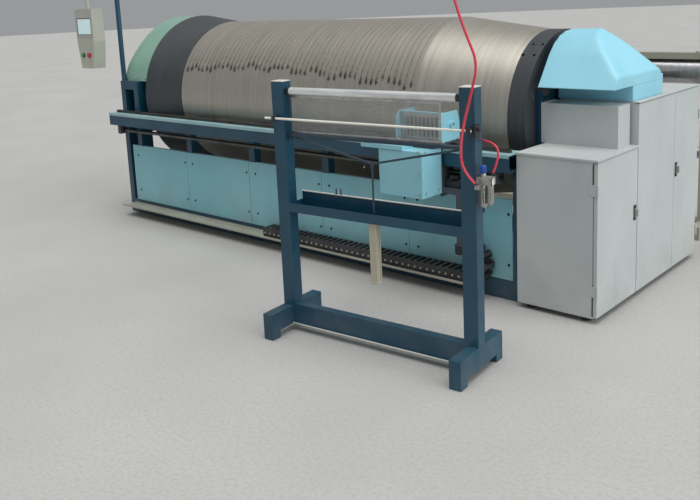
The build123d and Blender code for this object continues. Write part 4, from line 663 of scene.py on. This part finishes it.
# Tail cover: rolled sheet in grey-green enamel over the left bearing and the brake, closed by flat
# end sheets. Small bolts along its foot hold it to the tail frame.
cover_green = enamel("cover_green", shade(122, 160, 146), shade(132, 168, 154), 0.36, dust=0.15)
cover_left, cover_length, cover_half, cover_foot, cover_rise = -2.060, 0.308, 0.600, 1.130, 0.506
cover_steps = ((1.0, 0.0), (0.975, 0.10), (0.90, 0.285), (0.733, 0.53))
cover_steps += ((0.54, 0.74), (0.333, 0.897), (0.16, 0.97), (0.0, 1.0))
stations = [cover_left + cover_length * share for share in (0.0, 0.2, 0.5, 0.8, 1.0)]
form = bmesh.new()
rows = []
for spot in arch_line(cover_steps, 0.0, cover_half, cover_foot, cover_rise, 6):
    rows.append([form.verts.new((x, spot.x, spot.y)) for x in stations])
shell_grid(form, rows)
for column in (0, -1):
    for k in range(len(rows) // 2):
        corners = [rows[k][column], rows[k + 1][column]]
        if k + 1 < len(rows) // 2:
            corners.append(rows[-2 - k][column])
        corners.append(rows[-1 - k][column])
        form.faces.new(corners)
form.faces.new([*rows[0], *reversed(rows[-1])])
rolled_cover = fit_piece("rolled_tail_cover", form, cover_green, "frame", smooth=50)
rounding = rolled_cover.modifiers.new("rolled_edge", "BEVEL")
rounding.width, rounding.segments = 0.006, 3
rounding.limit_method, rounding.angle_limit = "ANGLE", radians(50)
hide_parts("tail_cover")
cover_bolt_z, cover_flats, cover_side, cover_end = 1.150, 0.010, 0.5965, -2.0605
cover_bolt_xs, cover_bolt_ys = (-2.03, -1.905, -1.78), (-0.46, -0.23, 0.0, 0.23, 0.46)
form = bmesh.new()
for side in (-1, 1):
    for x in cover_bolt_xs:
        hex_bolt(form, (x, side * cover_side, cover_bolt_z), (0, side, 0), cover_flats)
for y in cover_bolt_ys:
    hex_bolt(form, (cover_end, y, cover_bolt_z), (-1, 0, 0), cover_flats)
fit_piece("cover_bolts", form, zinc_plate, "frame")

# Carriage: a light blue sheet cover and cheeks on a dark grey saddle. The section reed is drawn
# steel and the measuring roller is turned.
carriage_blue = enamel("carriage_blue", shade(136, 196, 212), shade(146, 204, 218), 0.36, dust=0.1)
paint(carriage_blue, "carriage_cover", "reed_cheeks")
saddle_dark = enamel("saddle_dark", shade(58, 66, 74), shade(70, 78, 86), 0.42, dust=0.2)
paint(saddle_dark, "carriage_saddle")
drawn_steel = bright_steel("drawn_steel", shade(202, 203, 202), shade(168, 170, 170), 0.28, (3, 260, 260))
paint(drawn_steel, "section_reed")
paint(turned_steel, "measuring_roller")

# Carriage screws: zinc-plated pan heads hold the cover at its front and side, and four hexagon
# bolts go down into the guide blocks.
pan_head = [(0, 0.006), (0.002, 0.006), (0.0035, 0.003)]
box_front, box_side, saddle_top, saddle_flats = -0.9852, 1.3522, 0.9192, 0.010
front_columns, front_rows = (0.935, 1.332), (0.640, 0.760, 0.885)
side_columns, side_rows = (-0.95, -0.83), (0.645, 0.880)
saddle_bolt_xs, saddle_bolt_ys = (1.08, 1.40), (-0.845, -0.69)
form = bmesh.new()
for x in front_columns:
    for z in front_rows:
        turned(form, (x, box_front, z), (0, -1, 0), pan_head, 16)
for y in side_columns:
    for z in side_rows:
        turned(form, (box_side, y, z), (1, 0, 0), pan_head, 16)
for x in saddle_bolt_xs:
    for y in saddle_bolt_ys:
        hex_bolt(form, (x, y, saddle_top), (0, 0, 1), saddle_flats)
fit_piece("cover_screws", form, zinc_plate, "carriage")

# Traverse motor: a black housing with turned cooling fins, four end screws, and a terminal box with
# its cable gland.
paint(black_moulding, "traverse_motor")
motor_y, motor_z, motor_end, end_screw_circle = -0.715, 0.650, 1.4522, 0.036
fin_start, fin_pitch, fin_count = 1.366, 0.0075, 11
fin = [(0, 0.0525), (0.001, 0.0562), (0.003, 0.0562), (0.004, 0.0525)]
terminal_low, terminal_high = (1.385, -0.765, 0.700), (1.435, -0.700, 0.7195)
gland_place = (1.41, -0.767, 0.708)
gland = [(0, 0.009), (0.010, 0.009), (0.011, 0.007), (0.022, 0.007)]
end_screw = [(0, 0.004), (0.004, 0.004)]
form = bmesh.new()
for k in range(fin_count):
    turned(form, (fin_start + fin_pitch * k, motor_y, motor_z), (1, 0, 0), fin, 40)
for turn in (45, 135, 225, 315):
    away = Vector((0, cos(radians(turn)), sin(radians(turn)))) * end_screw_circle
    turned(form, Vector((motor_end, motor_y, motor_z)) + away, (1, 0, 0), end_screw, 6)
bar(form, terminal_low, terminal_high, chamfer=0.003)
turned(form, gland_place, (0, -1, 0), gland, 6)
fit_piece("motor_fins", form, black_moulding, "carriage")

# Leasing stand: two posts on feet, joined by a cross beam and the tool tray, welded and painted like
# the machine. It stands by itself on the floor in front, turned a little toward the drive end.
stand_place = Matrix.Translation((0.932, -1.68, 0)) @ Matrix.Rotation(radians(5.7), 4, "Z")
stand_front = stand_place.to_3x3() @ Vector((0, -1, 0))


def on_stand(x, y, z):
    """A point of the stand: along it from the left post, behind its middle, above the floor."""
    return stand_place @ Vector((x, y, z))


paint(petrol_blue, "stand_frame", "tool_tray")
paint(black_moulding, "stand_brackets")
beam_top, beam_foot, right_post, post_width, corner_inset = 0.121, 0.041, 1.105, 0.060, 0.0005
post_half, foot_bead, beam_bead, stand_bead = 0.0295, 0.02, 0.0095, 0.003
form = bmesh.new()
for post in (0.0, right_post):
    for x in (post + corner_inset, post + post_width - corner_inset):
        for y in (-post_half, post_half):
            start, end = on_stand(x, y - foot_bead, beam_top), on_stand(x, y + foot_bead, beam_top)
            weld(form, start, end, stand_bead, x + y)
for z in (beam_top, beam_foot):
    for x in (post_width + corner_inset, right_post - corner_inset):
        weld(form, on_stand(x, -beam_bead, z), on_stand(x, beam_bead, z), stand_bead, x)
fit_piece("stand_welds", form, petrol_blue, "frame")

# Guide rod, caps and edge strip: off-white enamel. The strip lies along the foot beam's front.
# Two blackened pins stand on the tray's back edge.
rod_white = enamel("rod_white", shade(236, 235, 226), shade(222, 220, 210), 0.32, dust=0.05)
paint(rod_white, "rod_and_caps")
strip_start, strip_end = (post_width, -0.0092, 0.0415), (right_post, -0.008, 0.0475)
form = bmesh.new()
bar(form, strip_start, strip_end, stand_place, 0.0004)
fit_piece("edge_strips", form, rod_white, "frame")
pin_xs, tray_back_y, tray_back_z = (0.302, 0.332), 0.1125, 0.7452
tray_pin = [(0, 0.0062), (0.007, 0.0062), (0.0075, 0.0034), (0.030, 0.0030), (0.037, 0.0018)]
form = bmesh.new()
for x in pin_xs:
    turned(form, on_stand(x, tray_back_y, tray_back_z), (0, 0, 1), tray_pin, 16)
fit_piece("tray_pins", form, blackened, "frame")

# Top roller: a chromed tube with fine lines along it. It turns in the black brackets between the
# heads of the posts.
chrome_tones = shade(238, 240, 240), shade(214, 216, 216)
chrome_tube = bright_steel("chrome_tube", *chrome_tones, 0.22, (2, 40, 40), 0.55)
paint(chrome_tube, "top_roller")

# Lift cylinder: a cream profile barrel with ribbed corners, between two end caps with small screws.
# It hangs from the tool tray and lifts the leasing reed.
cylinder_cream = enamel("cylinder_cream", shade(188, 184, 164), shade(176, 172, 152), 0.35, dust=0.1)
lift_x, lift_y, barrel_half, barrel_foot, barrel_top = 0.590, 0.032, 0.016, 0.352, 0.648
rib_half, rib_inset, cap_half, cap_spans = 0.0045, 0.0005, 0.022, ((0.345, 0.3555), (0.6445, 0.655))
cap_screw = [(0, 0.003), (0.0012, 0.003)]
form = bmesh.new()
barrel_low = (lift_x - barrel_half, lift_y - barrel_half, barrel_foot)
bar(form, barrel_low, (lift_x + barrel_half, lift_y + barrel_half, barrel_top), stand_place)
for x in (lift_x - barrel_half + rib_inset, lift_x + barrel_half - rib_inset):
    for y in (lift_y - barrel_half + rib_inset, lift_y + barrel_half - rib_inset):
        low = (x - rib_half, y - rib_half, barrel_foot + rib_inset)
        bar(form, low, (x + rib_half, y + rib_half, barrel_top - rib_inset), stand_place, 0.0012)
for low, high in cap_spans:
    cap_low = (lift_x - cap_half, lift_y - cap_half, low)
    bar(form, cap_low, (lift_x + cap_half, lift_y + cap_half, high), stand_place, 0.0018)
    for x in (lift_x - barrel_half, lift_x + barrel_half):
        turned(form, on_stand(x, lift_y - cap_half, (low + high) / 2), stand_front, cap_screw, 6)
barrel = fit_piece("profile_cylinder", form, cylinder_cream, "frame")
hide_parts("lift_cylinder")

# Reed carrier: a slim painted bar on two thin stays that meet at the lift's piston rod, where a
# hexagon nut clamps them.
yoke_blue = enamel("yoke_blue", shade(30, 52, 66), shade(44, 66, 80), 0.38, dust=0.1)
paint(yoke_blue, "reed_yoke")
carrier_left, carrier_right, carrier_foot, carrier_top = 0.078, 1.087, 1.052, 1.068
end_guides, guide_width, guide_foot = (0.0785, 1.0735), 0.013, 1.034
carrier_front, carrier_back, guide_front, guide_back = 0.022, 0.052, 0.021, 0.053
stays, stay_head, stays_meet_z = ((0.098, 0.588), (1.067, 0.592)), 1.050, 0.948
half_stay_depth, half_stay_height = 0.006, 0.005
piston_foot, nut_foot = 0.500, 0.930
piston = [(0, 0.016), (0.018, 0.016), (0.0181, 0.005), (0.452, 0.005)]
nut = [(0, 0.009), (0.014, 0.009), (0.015, 0.0075)]
form = bmesh.new()
carrier_end = (carrier_right, carrier_back, carrier_top)
bar(form, (carrier_left, carrier_front, carrier_foot), carrier_end, stand_place, 0.0015)
for end_x in end_guides:
    guide_end = (end_x + guide_width, guide_back, carrier_top)
    bar(form, (end_x, guide_front, guide_foot), guide_end, stand_place, 0.002)
for head_x, meet_x in stays:
    run = Vector((meet_x - head_x, 0, stays_meet_z - stay_head))
    lean_down = Vector((1, 0, 0)).rotation_difference(run).to_matrix().to_4x4()
    stay = stand_place @ Matrix.Translation((head_x, lift_y, stay_head)) @ lean_down
    stay_end = (run.length, half_stay_depth, half_stay_height)
    bar(form, (0, -half_stay_depth, -half_stay_height), stay_end, stay, 0.001)
turned(form, on_stand(lift_x, lift_y, piston_foot), (0, 0, 1), piston, 24)
turned(form, on_stand(lift_x, lift_y, nut_foot), (0, 0, 1), nut, 6)
slim_yoke = fit_piece("slim_yoke", form, yoke_blue, "reed_lift")
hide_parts("reed_yoke")

# Leasing reed: a flat frame of ground bar holding about 250 fine wires, open enough to see through.
# The carrier moves it up and down between the posts.
paint(drawn_steel, "leasing_reed")
reed_left, reed_right, wire_foot, wire_top = 0.084, 0.970, 1.079, 1.253
baulk_spans, end_bar_width = ((1.068, 1.080), (1.252, 1.264)), 0.009
baulk_front, baulk_back, end_bar_front, end_bar_back = 0.044, 0.050, 0.0445, 0.0495
wire_front, wire_back = 0.0462, 0.0478
wire_count, first_wire, wire_pitch, wire_width = 247, 0.0955, 0.0035, 0.0006
form = bmesh.new()
for low, high in baulk_spans:
    bar(form, (reed_left, baulk_front, low), (reed_right, baulk_back, high), stand_place, 0.001)
for left in (reed_left, reed_right - end_bar_width):
    end_bar_high = (left + end_bar_width, end_bar_back, wire_top)
    bar(form, (left, end_bar_front, wire_foot), end_bar_high, stand_place)
for k in range(wire_count):
    x = first_wire + wire_pitch * k
    bar(form, (x, wire_front, wire_foot), (x + wire_width, wire_back, wire_top), stand_place)
wire_reed = fit_piece("wire_reed", form, drawn_steel, "reed_lift")
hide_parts("leasing_reed")

# Air service unit: a die-cast block bolted to the post, with a regulator and a filter. Their dark
# bowls sit in slotted guards, and a drain hangs below the regulator's.
up = Vector((0, 0, 1))
unit_y, unit_front, unit_back, regulator_x = 0.023, 0.002, 0.044, 1.191
block_left, block_right, block_foot, block_top = 1.165, 1.2395, 0.908, 0.944
guard_top, guard_ribs, rib_depth, guard_rib_half = 0.892, 10, 0.003, 0.0032
inlet_low, inlet_high = (1.175, -0.032, guard_top), (1.195, unit_front, 0.912)
bowls = ((regulator_x, 0.017, 0.802), (1.225, 0.014, 0.816))
spigot = [(0, 0.013), (0.012, 0.013), (0.014, 0.012)]
unit_screw, unit_screw_xs, unit_screw_zs = [(0, 0.0035), (0.002, 0.0035)], (1.174, 1.231), (0.915, 0.937)
form = bmesh.new()
block_end = (block_right, unit_back, block_top)
bar(form, (block_left, unit_front, block_foot), block_end, stand_place, 0.003)
bar(form, inlet_low, inlet_high, stand_place, 0.002)
for x, radius, bottom in bowls:
    wide = radius + 0.0005
    collar = [(0, radius - 0.002), (0.002, wide), (0.014, wide), (0.016, radius - 0.001)]
    turned(form, on_stand(x, unit_y, guard_top), up, collar, 32)
    for k in range(guard_ribs):
        turn = 2 * pi * (k + 0.5) / guard_ribs
        rib = stand_place @ Matrix.Translation((x, unit_y, 0)) @ Matrix.Rotation(turn, 4, "Z")
        low = (radius - rib_depth, -guard_rib_half, bottom + 0.012)
        bar(form, low, (radius, guard_rib_half, guard_top + 0.001), rib)
    foot = [(0, radius - 0.008), (0.004, radius - 0.005), (0.010, radius - 0.001)]
    foot += [(0.018, radius), (0.022, radius)]
    turned(form, on_stand(x, unit_y, bottom), up, foot, 32)
turned(form, on_stand(regulator_x, unit_y, block_top), up, spigot, 32)
for x in unit_screw_xs:
    for z in unit_screw_zs:
        turned(form, on_stand(x, unit_front, z), stand_front, unit_screw, 6)
cast_unit = fit_piece("cast_air_unit", form, zinc_plate, "frame")
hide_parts("air_unit")

# Bowls, drain, gauge case and hose socket: the unit's black moulded parts. The round gauge stands on
# the block's right end and the socket takes the long hose on the left.
drain_foot, drain = 0.7785, [(0, 0.003), (0.006, 0.004), (0.008, 0.005), (0.0235, 0.005)]
gauge_case = [(0, 0.010), (0.002, 0.0185), (0.0062, 0.019), (0.0072, 0.018)]
socket_spot, socket = (1.172, -0.020, 0.917), [(0, 0.0085), (0.012, 0.0085), (0.013, 0.007)]
gauge = stand_place @ Matrix.Translation((1.2355, 0.013, 0.926)) @ Matrix.Rotation(radians(6), 4, "Z")
gauge_way = gauge.to_3x3() @ Vector((1, 0, 0))
socket_way = stand_place.to_3x3() @ Vector((-0.045, -0.016, 0.051)).normalized()
form = bmesh.new()
for x, radius, bottom in bowls:
    turned(form, on_stand(x, unit_y, bottom + 0.008), up, [(0, radius - 0.005), (0.086, radius - 0.004)], 28)
turned(form, on_stand(regulator_x, unit_y, drain_foot), up, drain, 20)
turned(form, gauge.translation, gauge_way, gauge_case, 40)
turned(form, on_stand(*socket_spot), -socket_way, socket, 20)
fit_piece("unit_bowls", form, black_moulding, "frame")

# Gauge face: a white dial with eleven black marks over three quarters of its rim, and a black
# pointer. The marks are raised a little over the dial.
mark_count, first_mark, mark_step, pointer_turn = 11, 135, 27, -40
dial_lift, dial = 0.0071, [(0, 0.0172), (0.0004, 0.0172)]
mark_low, mark_high = (0.0075, -0.0005, 0.0135), (0.0078, 0.0005, 0.0162)
pointer_low, pointer_high = (0.0076, -0.0006, -0.003), (0.008, 0.0006, 0.012)
form = bmesh.new()
turned(form, gauge @ Vector((dial_lift, 0, 0)), gauge_way, dial, 40)
fit_piece("gauge_dial", form, rod_white, "frame")
form = bmesh.new()
for k in range(mark_count):
    mark = gauge @ Matrix.Rotation(radians(first_mark - mark_step * k), 4, "X")
    bar(form, mark_low, mark_high, mark)
pointer = gauge @ Matrix.Rotation(radians(pointer_turn), 4, "X")
bar(form, pointer_low, pointer_high, pointer)
fit_piece("gauge_marks", form, black_moulding, "frame")

# Pressure knob: a blue moulded cap with eighteen grip ribs. It turns on top of the regulator and
# sets the pressure of the lift.
knob_blue = moulding("knob_blue", shade(24, 74, 160), shade(34, 90, 180), 0.35)
knob_foot, knob_ribs, grip_foot, grip_top = 0.9585, 18, 0.961, 0.987
rib_low, rib_high = (0.0135, -0.0013, grip_foot), (0.0158, 0.0013, grip_top)
knob_cap = [(0, 0.0135), (0.003, 0.0145), (0.028, 0.0145), (0.034, 0.012)]
knob_axis = stand_place @ Matrix.Translation((regulator_x, unit_y, 0))
form = bmesh.new()
turned(form, on_stand(regulator_x, unit_y, knob_foot), up, knob_cap, 32)
for k in range(knob_ribs):
    rib = knob_axis @ Matrix.Rotation(2 * pi * k / knob_ribs, 4, "Z")
    bar(form, rib_low, rib_high, rib, 0.0004)
ribbed_knob = fit_piece("ribbed_knob", form, knob_blue, "pressure_knob")
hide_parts("pressure_knob")

# Hoses: red polyurethane air hose. The long one hangs from overhead and enters the unit from the
# left. The short one leaves the unit's right side and curls back into the post.
hose_red = moulding("hose_red", shade(204, 52, 72), shade(216, 76, 94), 0.26, 90, 0.05)
paint(saddle_dark, "hose_hanger")


def hang_hose(name, node, stations, radius):
    """A smooth hose through its stations on the stand, in place of the model's plain one."""
    line = bpy.data.curves.new(name, "CURVE")
    line.dimensions = "3D"
    run = line.splines.new("NURBS")
    run.points.add(len(stations) - 1)
    for point, station in zip(run.points, stations):
        point.co = (*on_stand(*station), 1)
    run.order_u = 3
    run.use_endpoint_u = True
    line.resolution_u = 16
    line.bevel_depth = radius
    line.bevel_resolution = 5
    line.use_fill_caps = True
    line.materials.append(hose_red)
    made = bpy.data.objects.new(name, line)
    bpy.context.scene.collection.objects.link(made)
    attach(made, "frame")
    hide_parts(node)
    return made


supply_stations = [
    (1.172, -0.020, 0.917),
    (1.127, -0.036, 0.968),
    (1.114, -0.044, 1.052),
    (1.132, -0.044, 1.175),
    (1.172, -0.044, 1.310),
    (1.208, -0.044, 1.447),
    (1.160, -0.044, 1.555),
    (1.108, -0.044, 1.690),
    (1.081, -0.044, 1.800),
]
air_hose = hang_hose("air_hose", "supply_hose", supply_stations, 0.006)
unit_stations = [(1.234, 0.032, 0.962), (1.266, 0.041, 1.044), (1.225, 0.060, 1.093), (1.147, 0.079, 1.096)]
curled_hose = hang_hose("curled_hose", "unit_hose", unit_stations, 0.005)

# Beaming unit: two welded cream stands behind the drum, joined by cross beams, carry a turned guide
# roller and the weaver's beam. The bearings are bolted on. Welds join the feet and the top beam.
paint(cream_enamel, "beaming_frame")
paint(turned_steel, "beaming_roller", "warp_beam")
left_side, right_side, stand_top = -1.9005, 2.1605, 1.2655
roller_bearing = ((1.23, 1.31), (1.05, 1.21), 0.017)
beam_bearing = ((1.41, 1.55), (0.45, 0.59), 0.019)
top_bolt_xs, top_bolt_ys, top_bolt_flats = (-1.79, 2.05), (1.225, 1.305), 0.015
form = bmesh.new()
for side_x, outward in ((left_side, -1), (right_side, 1)):
    for bolt_ys, bolt_zs, flats in (roller_bearing, beam_bearing):
        for y in bolt_ys:
            for z in bolt_zs:
                hex_bolt(form, (side_x, y, z), (outward, 0, 0), flats)
for x in top_bolt_xs:
    for y in top_bolt_ys:
        hex_bolt(form, (x, y, stand_top), (0, 0, 1), top_bolt_flats)
fit_piece("beaming_bolts", form, zinc_plate, "frame")
foot_top, post_bead, top_beam_foot, top_beam_head = 0.0905, 0.065, 1.222, 1.262
foot_bead_xs, foot_bead_ys, foot_bead_radius = (-1.8975, 2.0925), (1.2005, 1.3295), 0.005
beam_bead_xs, beam_bead_ys, beam_bead_radius = (-1.829, 2.089), (1.2105, 1.3195), 0.004
form = bmesh.new()
for x in foot_bead_xs:
    for y in foot_bead_ys:
        weld(form, (x, y, foot_top), (x + post_bead, y, foot_top), foot_bead_radius, y)
for x in beam_bead_xs:
    for y in beam_bead_ys:
        weld(form, (x, y, top_beam_foot), (x, y, top_beam_head), beam_bead_radius, y)
fit_piece("beaming_welds", form, cream_enamel, "frame")

# Pendant: a beige-grey box on a boom. A black bezel frames the screen, black rings hold the green
# start button and the red stop button, and a dark seam divides the box.
pendant_beige = enamel("pendant_beige", shade(180, 182, 170), shade(168, 170, 158), 0.4, dust=0.1)
paint(pendant_beige, "pendant_arm", "pendant_box")
box_face, bezel_back, bezel_width, bezel_lap = -0.8452, -0.8425, 0.006, 0.005
bezel_left, bezel_right, bezel_foot, bezel_top = -2.322, -2.108, 1.526, 1.665
button_xs, button_z, button_ring = (-2.26, -2.17), 1.36, [(0, 0.021), (0.0015, 0.021), (0.003, 0.018)]
seam_start, seam_end = (-2.3395, box_face, 1.505), (-2.0905, -0.8446, 1.507)
form = bmesh.new()
for z in (bezel_foot, bezel_top - bezel_width):
    bar(form, (bezel_left, box_face, z), (bezel_right, bezel_back, z + bezel_width), chamfer=0.0006)
for x in (bezel_left, bezel_right - bezel_width):
    strip_top = (x + bezel_width, bezel_back, bezel_top - bezel_lap)
    bar(form, (x, box_face, bezel_foot + bezel_lap), strip_top, chamfer=0.0006)
for x in button_xs:
    turned(form, (x, box_face, button_z), (0, -1, 0), button_ring, 28)
bar(form, seam_start, seam_end)
fit_piece("pendant_bezel", form, black_moulding, "pendant")
button_green = moulding("button_green", shade(30, 130, 70), shade(40, 144, 84), 0.3)
paint(button_green, "start_button")
button_red = moulding("button_red", shade(190, 34, 30), shade(204, 50, 44), 0.3)
paint(button_red, "stop_button")

# Screen: a pane of smooth glass inside the bezel, lit from behind with a plain pale glow that is
# nearly even over the pane.
screen_glass, tree, shader, place = new_finish("screen_glass", Roughness=0.12)
tone = tinge(tree, grain(tree, place, 9.0, 2), shade(176, 200, 202), shade(196, 214, 214))
tree.links.new(tone, shader.inputs["Base Color"])
shader.inputs["Emission Color"].default_value = (0.62, 0.84, 0.88, 1)
shader.inputs["Emission Strength"].default_value = 0.3
pane_low, pane_high = (-2.3165, -0.8432, 1.5315), (-2.1135, -0.8421, 1.6595)
form = bmesh.new()
bar(form, pane_low, pane_high, chamfer=0.0003)
fit_piece("pendant_screen", form, screen_glass, "pendant")
